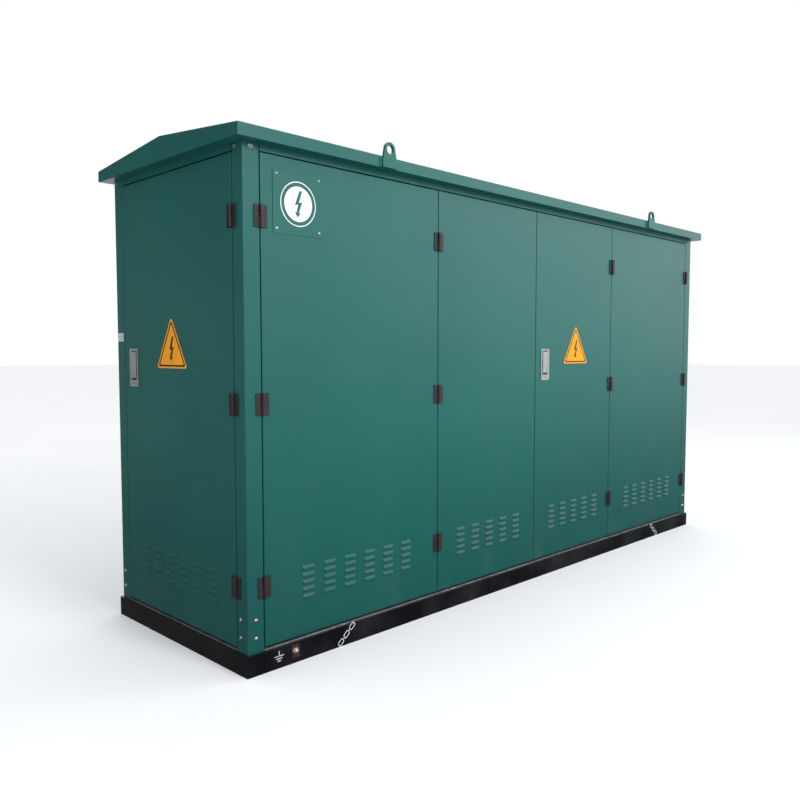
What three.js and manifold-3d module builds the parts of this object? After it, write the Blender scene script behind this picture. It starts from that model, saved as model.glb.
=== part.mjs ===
// Kiosk-type pad-mounted transformer: a sheet-steel housing on a channel base, with two bifold
// front doors, an end door, a gable roof with lifting lugs, and inside it a high-voltage switch
// cabinet, an oil-filled transformer and a low-voltage board.
// Millimetres. X runs along the length, the front faces -Y, Z is up, origin at the bottom centre.

import * as THREE from 'three';
import { mergeVertices } from 'three/addons/utils/BufferGeometryUtils.js';
import Module from 'manifold-3d';

const wasm = await Module();
wasm.setup();

// ---------------------------------------------------------------- driving dimensions

const seatGap = 0.3; // air between pieces that touch
const runGap = 0.4; // air round a piece that turns or slides in a hole

const bodyLength = 3600;
const bodyDepth = 1000;
const eaveHeight = 2000;
const ridgeRise = 52;
const roofOverhang = 50;
const fasciaHeight = 46;
const roofSheet = 3;

const baseHeight = 82;
const baseProud = 10;
const channelFlange = 50;
const channelWall = 6;
const anchorHoleRadius = 9;
const anchorInset = 160;

const floorSheet = 4;
const cableSlotLength = 420;
const cableSlotDepth = 260;

const sheet = 2.5;
const postFaceX = 75; // post width on the long sides
const postFaceY = 70; // post width on the short sides
const postReturn = 30;
const postWall = 3;
const headerHeight = 25;
const headerDepth = 60;
const stopLipDrop = 22;
const ceilingSheet = 3;

const doorGap = 4;
const doorPanDepth = 25;
const doorSill = 14; // door bottom above the base
const doorStopGap = 5;
const innerDoorWidth = 760;

const louvrePitchX = 109;
const louvreWidth = 60;
const louvrePitchZ = 28.4;
const louvreRows = 5;
const louvreTopRise = 276; // top edge of the top row above the door bottom
const louvreDrop = 17;
const louvreSlot = 12;

const hingeHeight = 82;
const hingeEndInset = 229;
const hingeLeafReach = 29;
const hingeLeafThickness = 4;
const knuckleRadius = 7;
const hingePinRadius = 3;
const hingeAxisOut = 8;
const hingeTabWidth = 9;
const hingeTabHeight = 26;
const hingeStrip = { wide: 18, thick: 3 };

const handleWidth = 72;
const handleLength = 163;
const handleInset = 85; // handle centre from the door's free edge
const handleLevel = 1134;
const handleFlange = 3;
const handleBox = { wide: 54, long: 147, deep: 18, wall: 2.5 };
const paddleThickness = 4;
const paddleBackset = 3;
const fingerGap = 10;
const keyBlockLength = 17;
const keyRadius = 7;
const lockRod = { wide: 20, thick: 4, clear: 1 };
const rodGuide = { wall: 5, high: 20 };
const lockRodThrow = 14;
const lockArmLength = 24;
const keyway = { wide: 2, long: 8, deep: 6 };

const lugWidth = 80;
const lugThickness = 12;
const lugTopRadius = 30;
const lugHoleRadius = 18;
const lugRise = 58; // lug top above the eave
const lugOffset = 1124;

const nameplateSize = 235;
const nameplateThickness = 1.5;
const nameplateInset = 173; // nameplate centre from the door's hinged edge
const nameplateDrop = 165; // nameplate centre below the door's top

const earthPad = { wide: 38, high: 50, thick: 4, fromEnd: 219, lift: 47 };
const earthBoltRadius = 6;
const earthWasher = { radius: 14, thick: 2.5 };
const earthHead = { radius: 11, high: 7.5 };

const partitionSheet = 3;
const partitionClear = 8;
const bayClear = 60; // free space left beside the equipment in each bay
const equipmentHeadroom = 180;

const tankWall = 5;
const tankHeight = 820;
const finDepth = 90;
const finThickness = 8;
const finPitch = 80;
const finHeight = 600;
const skidHeight = 70;
const tankRim = 30;
const lidThickness = 8;
const coilRadius = 120;
const coilGap = 20;
const coreLimb = 90;
const coreHeadroom = 180;
const filler = { radius: 45, high: 60 };
const terminalInset = 80; // bushings from the tank's ends
const hvBushing = { footRadius: 60, footHigh: 20, radius: 28, high: 120 };
const hvBoot = { radius: 30, high: 80 };
const hvCableRadius = 17;
const hvSpacing = 150;
const lvSpacing = 100;
const lvRowShift = 50; // the bushing row sits this far behind the tank's centre line
const lvBushing = { footWide: 110, footHigh: 50, wide: 56, high: 120 };
const lvPalm = { wide: 50, thick: 16, top: 190 };
const busbar = { wide: 60, thick: 8 };
const linkRise = 330; // cables and bars through the partitions, above the lid
const linkWindowHeight = 160;
const knob = { radius: 45, stem: 15, skirt: 16, grip: 16, high: 46 };

const hvCabinetDepth = 640;
const hvFrontClear = 130; // from the door's back to the cabinet front
const lvPanelThickness = 40;
const cabinetSheet = 3;
const shelfDrop = 60; // shelf below the middle of the cabinet
const spindleRadius = 12;
const spindleDrop = 420; // switch spindle below the cabinet's top
const opHandle = { boss: 24, wide: 24, thick: 12, reach: 230, gripRadius: 17, gripLength: 110 };
const boardFoot = { wide: 50, deep: 180, high: 40 };
const boardWindow = { margin: 60, high: 360 };
const breaker = { wide: 260, high: 380, deep: 150, drop: 140, step: 110, stepDeep: 45 };
const leverSlot = { wide: 70, low: 130, high: 250, deep: 40 };
const breakerLever = { hub: 14, hubLength: 60, thick: 16, reach: 84, gripWide: 52, gripThick: 20 };
const leverAxis = { inset: 22, level: 190 };

// ---------------------------------------------------------------- dependent sizes

const halfLength = bodyLength / 2;
const halfDepth = bodyDepth / 2;
const roofUnder = eaveHeight - fasciaHeight;
const ceilingBottom = roofUnder - seatGap;
const postBottom = baseHeight + seatGap;
const postTop = ceilingBottom - seatGap;
const headerBottom = postTop - headerHeight;
const doorBottom = baseHeight + doorSill;
const doorTop = headerBottom - doorGap;
const doorHeight = doorTop - doorBottom;
const outerSeam = halfLength - postFaceX;
const outerDoorWidth = outerSeam - innerDoorWidth;
const endSeam = halfDepth - postFaceY;
const floorTop = postBottom + floorSheet;
const hingeLevels = [doorBottom + hingeEndInset, (doorBottom + doorTop) / 2, doorTop - hingeEndInset];
const innerPanWidth = innerDoorWidth - doorGap;
const outerPanWidth = outerDoorWidth - doorGap;
const endPanWidth = 2 * endSeam - doorGap;
const innerPanX = innerDoorWidth / 2;
const outerPanX = innerDoorWidth + outerDoorWidth / 2;
const stopFace = doorPanDepth + doorStopGap;
const lipBottom = headerBottom - stopLipDrop;
const handleX = (panWidth) => -panWidth / 2 + handleInset - doorGap / 2;
const frontLockX = innerPanX + handleX(innerPanWidth);
const endLockY = -handleX(endPanWidth);
const tabOffset = (hingeLeafReach + knuckleRadius) / 2; // hinge tabs from the seam
const rodFront = handleBox.deep + lockRod.clear;
const rodBack = rodFront + lockRod.thick;

// ---------------------------------------------------------------- materials

const paint = { color: 0x1f6b5e, roughness: 0.38, metalness: 0.15 };
const darkSteel = { color: 0x2a2325, roughness: 0.5, metalness: 0.4 };
const baseBlack = { color: 0x15161c, roughness: 0.35, metalness: 0.1 };
const zinc = { color: 0xb9bcbd, roughness: 0.35, metalness: 0.9 };
const copper = { color: 0xa9623c, roughness: 0.4, metalness: 0.9 };
const galvanised = { color: 0x9aa0a2, roughness: 0.5, metalness: 0.8 };
const tankGrey = { color: 0x7d858a, roughness: 0.5, metalness: 0.2 };
const panelGrey = { color: 0xc9cdca, roughness: 0.6, metalness: 0.1 };
const blackPlastic = { color: 0x1d1d20, roughness: 0.5, metalness: 0 };
const redPlastic = { color: 0xb3261e, roughness: 0.45, metalness: 0 };
const epoxy = { color: 0x6e3a2c, roughness: 0.4, metalness: 0 };
const cableJacket = { color: 0x7a1f1c, roughness: 0.6, metalness: 0 };
const coreSteel = { color: 0x5c5f63, roughness: 0.5, metalness: 0.7 };

// ---------------------------------------------------------------- solids

function solid(geometry) {
  const bare = geometry.clone();
  bare.deleteAttribute('normal');
  bare.deleteAttribute('uv');
  const merged = mergeVertices(bare, 1e-4);
  const vertProperties = new Float32Array(merged.attributes.position.array);
  const triVerts = new Uint32Array(merged.index.array);
  return new wasm.Manifold(new wasm.Mesh({ numProp: 3, vertProperties, triVerts }));
}

function block(x0, x1, y0, y1, z0, z1) {
  const geometry = new THREE.BoxGeometry(x1 - x0, y1 - y0, z1 - z0);
  return solid(geometry.translate((x0 + x1) / 2, (y0 + y1) / 2, (z0 + z1) / 2));
}

// A rectangle inset from the body outline, from z0 to z1.
function slab(inset, z0, z1) {
  const x = halfLength - inset;
  const y = halfDepth - inset;
  return block(-x, x, -y, y, z0, z1);
}

// A cylinder with its axis along 'x', 'y' or 'z', centred at (x, y, z).
function drum(axis, radius, length, [x, y, z], sides = 12) {
  const geometry = new THREE.CylinderGeometry(radius, radius, length, sides);
  if (axis === 'x') geometry.rotateZ(Math.PI / 2);
  if (axis === 'z') geometry.rotateX(Math.PI / 2);
  return solid(geometry.translate(x, y, z));
}

// A hole for a round pin, wide enough that its flats clear the pin at every angle.
function bore(axis, pinRadius, length, at, sides = 12) {
  return drum(axis, (pinRadius + runGap) / Math.cos(Math.PI / sides), length, at, sides);
}

function extrude(points, depth) {
  const shape = new THREE.Shape(points.map(([a, b]) => new THREE.Vector2(a, b)));
  return new THREE.ExtrudeGeometry(shape, { depth, bevelEnabled: false });
}

// An outline in X and Y, standing from z0 to z1.
function column(points, z0, z1) {
  return solid(extrude(points, z1 - z0).translate(0, 0, z0));
}

// An outline in Y and Z, running from x0 to x1.
function alongX(points, x0, x1) {
  const turn = new THREE.Matrix4();
  turn.makeBasis(new THREE.Vector3(0, 1, 0), new THREE.Vector3(0, 0, 1), new THREE.Vector3(1, 0, 0));
  return solid(extrude(points, x1 - x0).applyMatrix4(turn).translate(x0, 0, 0));
}

// An outline in X and Z, running from y0 to y1.
function alongY(points, y0, y1) {
  const turn = new THREE.Matrix4();
  turn.makeBasis(new THREE.Vector3(1, 0, 0), new THREE.Vector3(0, 0, 1), new THREE.Vector3(0, -1, 0));
  return solid(extrude(points, y1 - y0).applyMatrix4(turn).translate(0, y1, 0));
}

const join = (...solids) => solids.flat(Infinity).reduce((a, b) => a.add(b));
const cut = (body, ...tools) => tools.flat(Infinity).reduce((a, b) => a.subtract(b), body);

const model = new THREE.Group();

function place(name, finish, shape, { at = [0, 0, 0], turn = 0, into = model } = {}) {
  const { vertProperties, triVerts } = shape.getMesh();
  const geometry = new THREE.BufferGeometry();
  geometry.setAttribute('position', new THREE.BufferAttribute(new Float32Array(vertProperties), 3));
  geometry.setIndex(new THREE.BufferAttribute(new Uint32Array(triVerts), 1));
  geometry.computeVertexNormals();
  const mesh = new THREE.Mesh(geometry, new THREE.MeshStandardMaterial(finish));
  mesh.name = name;
  mesh.position.set(...at);
  mesh.rotation.z = turn;
  into.add(mesh);
  return mesh;
}

// ---------------------------------------------------------------- base and floor

function channelAcross(x) {
  const half = channelFlange / 2;
  const y = halfDepth + baseProud - channelWall / 2;
  const outer = block(x - half, x + half, -y, y, 0, baseHeight);
  const hollow = block(x - half + channelWall, x + half + 1, -y + channelWall, y - channelWall,
    channelWall, baseHeight - channelWall);
  return cut(outer, hollow);
}

function baseFrame() {
  const ring = slab(-baseProud, 0, baseHeight);
  const web = slab(channelWall - baseProud, channelWall, baseHeight - channelWall);
  const bay = slab(channelFlange - baseProud, -1, baseHeight + 1);
  const members = [-innerDoorWidth, innerDoorWidth].map(channelAcross);
  const holes = [];
  for (const sx of [-1, 1]) {
    for (const sy of [-1, 1]) {
      const x = sx * (halfLength - anchorInset);
      const y = sy * (halfDepth + baseProud - channelFlange / 2);
      holes.push(drum('z', anchorHoleRadius, 3 * channelWall, [x, y, channelWall / 2]));
    }
  }
  const boltHole = bore('y', earthBoltRadius, 3 * channelWall,
    [-halfLength + earthPad.fromEnd - baseProud, -halfDepth - baseProud, earthPad.lift]);
  return cut(join(cut(ring, web, bay), members), holes, boltHole);
}

function floorPlate() {
  const plate = slab(seatGap, postBottom, floorTop);
  const notchX = postFaceX + seatGap;
  const notchY = postFaceY + seatGap;
  const notches = [];
  for (const sx of [-1, 1]) {
    for (const sy of [-1, 1]) {
      const cx = sx * halfLength;
      const cy = sy * halfDepth;
      notches.push(block(cx - notchX, cx + notchX, cy - notchY, cy + notchY, 0, eaveHeight));
    }
  }
  const slots = [-1, 1].map((side) => {
    const x = side * (outerSeam + innerDoorWidth) / 2;
    return block(x - cableSlotLength / 2, x + cableSlotLength / 2, -cableSlotDepth, 0, 0, eaveHeight);
  });
  return cut(plate, notches, slots);
}

// ---------------------------------------------------------------- posts, header, roof

function cornerPost(sx, sy, hingeTabs) {
  const w = postFaceX - doorGap / 2;
  const d = postFaceY - doorGap / 2;
  const t = postWall;
  const r = postReturn;
  const outline = [[0, 0], [w, 0], [w, r], [w - t, r], [w - t, t], [t, t],
    [t, d - t], [r, d - t], [r, d], [0, d]];
  const points = outline.map(([x, y]) => [-sx * x, -sy * y]);
  return cut(column(points, 0, postTop - postBottom), hingeTabs);
}

// The header above the doors, the lip they close against and the soffit sheet, welded together.
function topFrame() {
  const weld = ceilingBottom + 1;
  const top = cut(slab(0, headerBottom, weld), slab(headerDepth, 0, eaveHeight));
  const lip = cut(slab(stopFace, lipBottom, weld), slab(headerDepth, 0, eaveHeight));
  const notches = [];
  for (const sx of [-1, 1]) {
    for (const sy of [-1, 1]) {
      const x = sx * halfLength;
      const y = sy * halfDepth;
      const clearX = postFaceX + seatGap;
      const clearY = postReturn + seatGap;
      const clearSide = postFaceY + seatGap;
      notches.push(block(x - clearX, x + clearX, y - clearY, y + clearY, 0, eaveHeight));
      notches.push(block(x - clearY, x + clearY, y - clearSide, y + clearSide, 0, eaveHeight));
    }
  }
  const half = lockRod.wide / 2 + runGap;
  const pocketTop = doorTop + lockRodThrow + doorGap;
  const frontPocket = block(frontLockX - half, frontLockX + half, -halfDepth + rodFront - runGap,
    -halfDepth + rodBack + runGap, 0, pocketTop);
  const endPocket = block(-halfLength + rodFront - runGap, -halfLength + rodBack + runGap,
    endLockY - half, endLockY + half, 0, pocketTop);
  const soffit = slab(roofSheet + seatGap - roofOverhang, ceilingBottom, ceilingBottom + ceilingSheet);
  return join(cut(join(top, lip), notches, frontPocket, endPocket), soffit);
}

function roofShell(inset, lift) {
  const y = halfDepth + roofOverhang - inset;
  const x = halfLength + roofOverhang - inset;
  const outline = [[-y, roofUnder + lift], [y, roofUnder + lift], [y, eaveHeight - inset],
    [0, eaveHeight + ridgeRise - inset], [-y, eaveHeight - inset]];
  return alongX(outline, -x, x);
}

function liftingLug() {
  const top = fasciaHeight + lugRise;
  const centre = top - lugTopRadius;
  const half = lugWidth / 2;
  const arcSteps = 10;
  const arc = [];
  for (let i = 0; i <= arcSteps; i++) {
    const angle = Math.PI * i / arcSteps;
    arc.push([lugTopRadius * Math.cos(angle), centre + lugTopRadius * Math.sin(angle)]);
  }
  const outline = [[-half, 0], [half, 0], [half, fasciaHeight / 2], ...arc, [-half, fasciaHeight / 2]];
  const plate = alongY(outline, -lugThickness, 0);
  return cut(plate, drum('y', lugHoleRadius, 3 * lugThickness, [0, 0, centre], 16));
}

// ---------------------------------------------------------------- panels and doors

// The air slots under the louvre hoods, centred on x = 0, for a panel standing on z = 0.
function louvreSlots(columns) {
  const slots = [];
  for (let column = 0; column < columns; column++) {
    const x = (column - (columns - 1) / 2) * louvrePitchX;
    for (let row = 0; row < louvreRows; row++) {
      const low = louvreTopRise - row * louvrePitchZ - louvreDrop;
      const half = louvreWidth / 2;
      slots.push(block(x - half, x + half, -1, sheet + 1, low, low + louvreSlot));
    }
  }
  return slots;
}

// A folded sheet pan: front skin at y = 0, edges turned back, bottom at z = 0.
function pan(width, columns) {
  const x = width / 2;
  const shell = cut(block(-x, x, 0, doorPanDepth, 0, doorHeight),
    block(-x + sheet, x - sheet, sheet, doorPanDepth + 1, sheet, doorHeight - sheet));
  return cut(shell, louvreSlots(columns));
}

// Holes for the hinge tabs at the pan's left (-1) or right (+1) edge.
function panTabHoles(width, side) {
  const x = side * (width / 2 + doorGap / 2 - tabOffset);
  return tabHoles(x, doorBottom);
}

function tabHoles(x, below) {
  const half = hingeTabWidth / 2 + seatGap;
  const tall = hingeTabHeight / 2 + seatGap;
  return hingeLevels.map((z) =>
    block(x - half, x + half, -1, sheet + postWall, z - below - tall, z - below + tall));
}

// The lock's cut-out, the rod guides and the rod's notch in the top edge.
function fitLock(door, width) {
  const x = handleX(width);
  const z = handleLevel - doorBottom;
  const wide = handleBox.wide / 2 + seatGap;
  const long = handleBox.long / 2 + seatGap;
  const window = block(x - wide, x + wide, -1, sheet + 1, z - long, z + long);
  const half = lockRod.wide / 2;
  const guides = [z + handleLength, doorHeight - handleLength].map((level) =>
    block(x - half - rodGuide.wall, x + half + rodGuide.wall, sheet / 2, rodBack + rodGuide.wall,
      level, level + rodGuide.high));
  const slot = block(x - half - runGap, x + half + runGap, rodFront - runGap, rodBack + runGap,
    z + handleBox.long / 2, doorHeight + 1);
  const notch = block(x - half - runGap, x + half + runGap, rodFront - runGap, doorPanDepth + 1,
    doorHeight - 2 * sheet, doorHeight + 1);
  return cut(join(cut(door, window), guides), slot, notch);
}

// ---------------------------------------------------------------- hinges

// Three leaves on one side of a seam, joined by tabs through the sheet to a strip behind it.
// Local frame: seam at x = 0, outer face of the sheets at y = 0. side is -1 or +1.
function hingeSet(side, holdsPin, wall) {
  const near = knuckleRadius + 2 * runGap;
  const leafBack = -seatGap;
  const leafFront = leafBack - hingeLeafThickness;
  const stripFront = wall + seatGap;
  const span = (a, b) => [Math.min(side * a, side * b), Math.max(side * a, side * b)];
  const [leaf0, leaf1] = span(near, hingeLeafReach);
  const [neck0, neck1] = span(0, near + 1);
  const [tab0, tab1] = span(tabOffset - hingeTabWidth / 2, tabOffset + hingeTabWidth / 2);
  const [strip0, strip1] = span(tabOffset - hingeStrip.wide / 2, tabOffset + hingeStrip.wide / 2);
  const half = hingeHeight / 2;
  const knuckleLength = half - runGap;
  const pieces = [];
  for (const z of hingeLevels) {
    const low = holdsPin ? z - half : z + runGap;
    const leaf = block(leaf0, leaf1, leafFront, leafBack, z - half, z + half);
    const neck = block(neck0, neck1, leafFront, -1, low, low + knuckleLength);
    const knuckle = drum('z', knuckleRadius, knuckleLength,
      [0, -hingeAxisOut, low + knuckleLength / 2], 8);
    const tab = block(tab0, tab1, leafFront + 1, stripFront + hingeStrip.thick / 2,
      z - hingeTabHeight / 2, z + hingeTabHeight / 2);
    let hinge = join(leaf, neck, knuckle, tab);
    if (holdsPin) {
      const pin = drum('z', hingePinRadius, knuckleLength, [0, -hingeAxisOut, z + runGap], 6);
      hinge = join(hinge, pin);
    } else {
      hinge = cut(hinge, bore('z', hingePinRadius, 2 * hingeHeight, [0, -hingeAxisOut, z], 6));
    }
    pieces.push(hinge);
  }
  const strip = block(strip0, strip1, stripFront, stripFront + hingeStrip.thick,
    hingeLevels[0] - half, hingeLevels[2] + half);
  return join(pieces, strip);
}

// ---------------------------------------------------------------- lock

// Local frame: centre of the handle at x = 0, z = 0, door face at y = 0.
const boxInnerX = handleBox.wide / 2 - handleBox.wall;
const boxInnerZ = handleBox.long / 2 - handleBox.wall;
const keyBlockTop = -boxInnerZ + keyBlockLength;
const keyLevel = -boxInnerZ + keyBlockLength / 2;
const paddleAxisDepth = 3;
const paddleTop = boxInnerZ - paddleThickness - paddleBackset;
const paddleAxisLevel = paddleTop - 6;
const paddlePinRadius = 2.5;
const flangeFront = -seatGap - handleFlange;
const paddleFront = flangeFront - paddleThickness / 2;

function lockHousing() {
  const flange = block(-handleWidth / 2, handleWidth / 2, flangeFront, -seatGap,
    -handleLength / 2, handleLength / 2);
  const box = block(-handleBox.wide / 2, handleBox.wide / 2, flangeFront, handleBox.deep,
    -handleBox.long / 2, handleBox.long / 2);
  const hollow = block(-boxInnerX, boxInnerX, flangeFront - 1, handleBox.deep - handleBox.wall,
    -boxInnerZ, boxInnerZ);
  const keyBlock = block(-boxInnerX - 1, boxInnerX + 1, flangeFront, handleBox.deep - 1,
    -boxInnerZ - 1, keyBlockTop);
  const keyBore = bore('y', keyRadius, 4 * handleBox.deep, [0, 0, keyLevel], 16);
  const pinBore = bore('x', paddlePinRadius, handleWidth, [0, paddleAxisDepth, paddleAxisLevel], 8);
  return cut(join(cut(join(flange, box), hollow), keyBlock), keyBore, pinBore);
}

function lockPaddle() {
  const half = boxInnerX - 2 * runGap - 1;
  const face = block(-half, half, paddleFront, paddleFront + paddleThickness,
    keyBlockTop + fingerGap, paddleTop);
  const lug = block(-half, half, paddleFront + 1, paddleAxisDepth + paddlePinRadius,
    paddleAxisLevel - 4, paddleAxisLevel + 4);
  const pin = drum('x', paddlePinRadius, 2 * boxInnerX + handleBox.wall,
    [0, paddleAxisDepth, paddleAxisLevel], 8);
  return join(face, lug, pin);
}

function lockCylinder() {
  const front = flangeFront - 1;
  const back = rodBack + lockRod.clear;
  const barrel = drum('y', keyRadius, back + 1 - front, [0, (front + back + 1) / 2, keyLevel], 16);
  const arm = block(-keyRadius, lockArmLength, back, back + lockRod.thick,
    keyLevel - keyRadius, keyLevel + keyRadius);
  const slot = block(-keyway.wide / 2, keyway.wide / 2, front - 1, front + keyway.deep,
    keyLevel - keyway.long / 2, keyLevel + keyway.long / 2);
  return cut(join(barrel, arm), slot);
}

function lockRodBar() {
  const half = lockRod.wide / 2;
  const bottom = handleLevel - doorBottom + keyLevel + keyRadius + lockRod.clear;
  return block(-half, half, rodFront, rodBack, bottom, doorHeight);
}

// ---------------------------------------------------------------- partitions and transformer

const partitionTop = lipBottom - seatGap;
const partitionFront = -halfDepth + stopFace + partitionClear;
const partitionBack = halfDepth - stopFace;
const lvRowDepth = busbar.wide + lvSpacing * 3;
const tankBottom = floorTop + seatGap + skidHeight;
const tankTop = tankBottom + tankHeight;
const lidTop = tankTop + seatGap + lidThickness;
const tankHalfX = innerDoorWidth - partitionSheet - bayClear - tankRim - finDepth;
const tankHalfY = halfDepth - stopFace - bayClear - tankRim - finDepth;
const linkLevel = lidTop + linkRise;
const linkWindow = { deep: lvRowDepth + 2 * lvRowShift + 40, high: linkWindowHeight };

function partition() {
  const t = partitionSheet / 2;
  const wall = block(-t, t, partitionFront, partitionBack, floorTop + seatGap, partitionTop);
  const window = block(-2 * t, 2 * t, -linkWindow.deep / 2, linkWindow.deep / 2,
    linkLevel - linkWindow.high / 2, linkLevel + linkWindow.high / 2);
  return cut(wall, window);
}

function fins(halfSpan, from, lengthwise) {
  const count = Math.floor((2 * halfSpan - finPitch) / finPitch) + 1;
  const low = tankBottom + (tankHeight - finHeight) / 2;
  const blades = [];
  for (let i = 0; i < count; i++) {
    const c = (i - (count - 1) / 2) * finPitch;
    const a = c - finThickness / 2;
    const b = c + finThickness / 2;
    for (const side of [-1, 1]) {
      const p = Math.min(side * (from - 1), side * (from + finDepth));
      const q = Math.max(side * (from - 1), side * (from + finDepth));
      blades.push(lengthwise ? block(a, b, p, q, low, low + finHeight)
        : block(p, q, a, b, low, low + finHeight));
    }
  }
  return blades;
}

function transformerTank() {
  const x = tankHalfX;
  const y = tankHalfY;
  const outer = block(-x, x, -y, y, tankBottom, tankTop);
  const rim = block(-x - tankRim, x + tankRim, -y - tankRim, y + tankRim, tankTop - lidThickness, tankTop);
  const hollow = block(-x + tankWall, x - tankWall, -y + tankWall, y - tankWall,
    tankBottom + tankWall, tankTop + 1);
  const skids = [-1, 1].map((side) => {
    const c = side * (x - skidHeight);
    return block(c - skidHeight / 2, c + skidHeight / 2, -y, y, floorTop + seatGap, tankBottom + 1);
  });
  return cut(join(outer, rim, fins(x, y, true), fins(y, x, false), skids), hollow);
}

const terminalX = tankHalfX - terminalInset;

function tankLid() {
  const x = tankHalfX + tankRim;
  const y = tankHalfY + tankRim;
  const plate = block(-x, x, -y, y, tankTop + seatGap, lidTop);
  const { footRadius, footHigh, radius, high } = hvBushing;
  const onLid = (r, tall, px, py, sides) => drum('z', r, tall, [px, py, lidTop - 1 + tall / 2], sides);
  const bushings = hvRow().map((py) => join(onLid(footRadius, footHigh, -terminalX, py, 16),
    onLid(radius, high, -terminalX, py, 12)));
  const neck = onLid(filler.radius, filler.high, 0, tankHalfY / 2, 16);
  return cut(join(plate, neck, bushings), bore('z', knob.stem, 4 * lidThickness, [0, 0, lidTop]));
}

function hvRow() {
  return [-1, 0, 1].map((i) => i * hvSpacing);
}

function coreAndWindings() {
  const pitch = 2 * coilRadius + coilGap;
  const low = tankBottom + tankWall + coilGap;
  const limbTop = low + tankHeight - coilGap - coreHeadroom;
  const limb = coreLimb / 2;
  const parts = [block(-pitch - limb, pitch + limb, -limb, limb, low, low + coreLimb),
    block(-pitch - limb, pitch + limb, -limb, limb, limbTop - coreLimb, limbTop)];
  for (const i of [-1, 0, 1]) {
    parts.push(block(i * pitch - limb, i * pitch + limb, -limb, limb, low, limbTop));
    parts.push(drum('z', coilRadius, limbTop - low - 2 * coreLimb - coilGap,
      [i * pitch, 0, (low + limbTop) / 2], 16));
  }
  return join(parts);
}

function tapChanger() {
  const { radius, stem, skirt, grip, high } = knob;
  const low = 10;
  const shaft = drum('z', stem, 4 * stem, [0, 0, low + skirt / 2 - 2 * stem + 2], 12);
  const disc = drum('z', radius, skirt, [0, 0, low + skirt / 2], 16);
  const bar = block(5 - radius, radius - 5, -grip / 2, grip / 2, low + skirt / 2, high);
  return join(shaft, disc, bar);
}

function lvBushingBlock() {
  const { footWide, footHigh, wide, high } = lvBushing;
  const half = lvRowDepth / 2 + 10;
  const palmFace = busbar.thick / 2 + seatGap;
  const foot = block(-footWide / 2, footWide / 2, -half, half, 0, footHigh);
  const stalks = lvRow().map((y) =>
    block(-wide / 2, wide / 2, y - wide / 2, y + wide / 2, footHigh - 1, high));
  const palms = lvRow().map((y) => block(palmFace, palmFace + lvPalm.thick, y - lvPalm.wide / 2,
    y + lvPalm.wide / 2, high - 1, lvPalm.top));
  return join(foot, stalks, palms);
}

function lvRow() {
  return [-1.5, -0.5, 0.5, 1.5].map((i) => i * lvSpacing);
}

// A flat bar that rises from the bushing palm and runs through the partition to the board.
function lvBusbar(y, reach) {
  const t = busbar.thick / 2;
  const w = busbar.wide / 2;
  const low = lidTop + lvBushing.high + 5;
  const rise = block(terminalX - t, terminalX + t, y - w, y + w, low, linkLevel + t);
  const run = block(terminalX - t, reach, y - w, y + w, linkLevel - t, linkLevel + t);
  return join(rise, run);
}

// A link cable from the side of the switch cabinet, over to a bushing on the tank lid.
function hvCable(y, start) {
  const stubTop = lidTop - 1 + hvBushing.high + seatGap;
  const points = [[start, linkLevel], [start + 60, linkLevel], [-innerDoorWidth, linkLevel],
    [-terminalX - 150, linkLevel], [-terminalX - 40, linkLevel - 25], [-terminalX, linkLevel - 110],
    [-terminalX, stubTop + hvBoot.high - 20]];
  const path = new THREE.CatmullRomCurve3(points.map(([x, z]) => new THREE.Vector3(x, y, z)));
  const ring = new THREE.Shape();
  const sides = 8;
  for (let i = 0; i < sides; i++) {
    const angle = 2 * Math.PI * i / sides;
    const point = [hvCableRadius * Math.cos(angle), hvCableRadius * Math.sin(angle)];
    if (i === 0) ring.moveTo(...point);
    else ring.lineTo(...point);
  }
  const tube = solid(new THREE.ExtrudeGeometry(ring, { steps: 10, extrudePath: path, curveSegments: 1 }));
  const boot = drum('z', hvBoot.radius, hvBoot.high, [-terminalX, y, stubTop + hvBoot.high / 2], 12);
  return join(tube, boot);
}

// ---------------------------------------------------------------- switchgear

const bayInner = innerDoorWidth + partitionSheet / 2 + bayClear;
const bayOuter = halfLength - stopFace - bayClear;
const equipmentTop = partitionTop - equipmentHeadroom;
const equipmentFront = -halfDepth + doorPanDepth + hvFrontClear;
const hvSpindleLevel = equipmentTop - spindleDrop;
const hvCentre = -(bayInner + bayOuter) / 2;
const lvCentre = (bayInner + bayOuter) / 2;

function switchCabinet() {
  const back = equipmentFront + hvCabinetDepth;
  const bottom = floorTop + seatGap;
  const skin = cabinetSheet;
  const shelf = (bottom + equipmentTop) / 2 - shelfDrop;
  const outer = block(-bayOuter, -bayInner, equipmentFront, back, bottom, equipmentTop);
  const cableRoom = block(-bayOuter + skin, -bayInner - skin, equipmentFront - 1, back - skin,
    bottom - 1, shelf);
  const mechanism = block(-bayOuter + skin, -bayInner - skin, equipmentFront + skin, back + 1,
    shelf + skin, equipmentTop - skin);
  const hole = bore('y', spindleRadius, 8 * skin, [hvCentre, equipmentFront, hvSpindleLevel]);
  return cut(outer, cableRoom, mechanism, hole);
}

function operatingHandle() {
  const { boss, wide, thick, reach, gripRadius, gripLength } = opHandle;
  const leverBack = -22;
  const spindle = drum('y', spindleRadius, 60, [0, -10, 0]);
  const collar = drum('y', boss, 20, [0, leverBack + 4, 0], 16);
  const lever = block(-wide / 2, wide / 2, leverBack - thick, leverBack, -reach, boss - 8);
  const grip = drum('z', gripRadius, gripLength, [0, leverBack - thick / 2, 30 - reach], 12);
  return join(spindle, collar, lever, grip);
}

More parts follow.
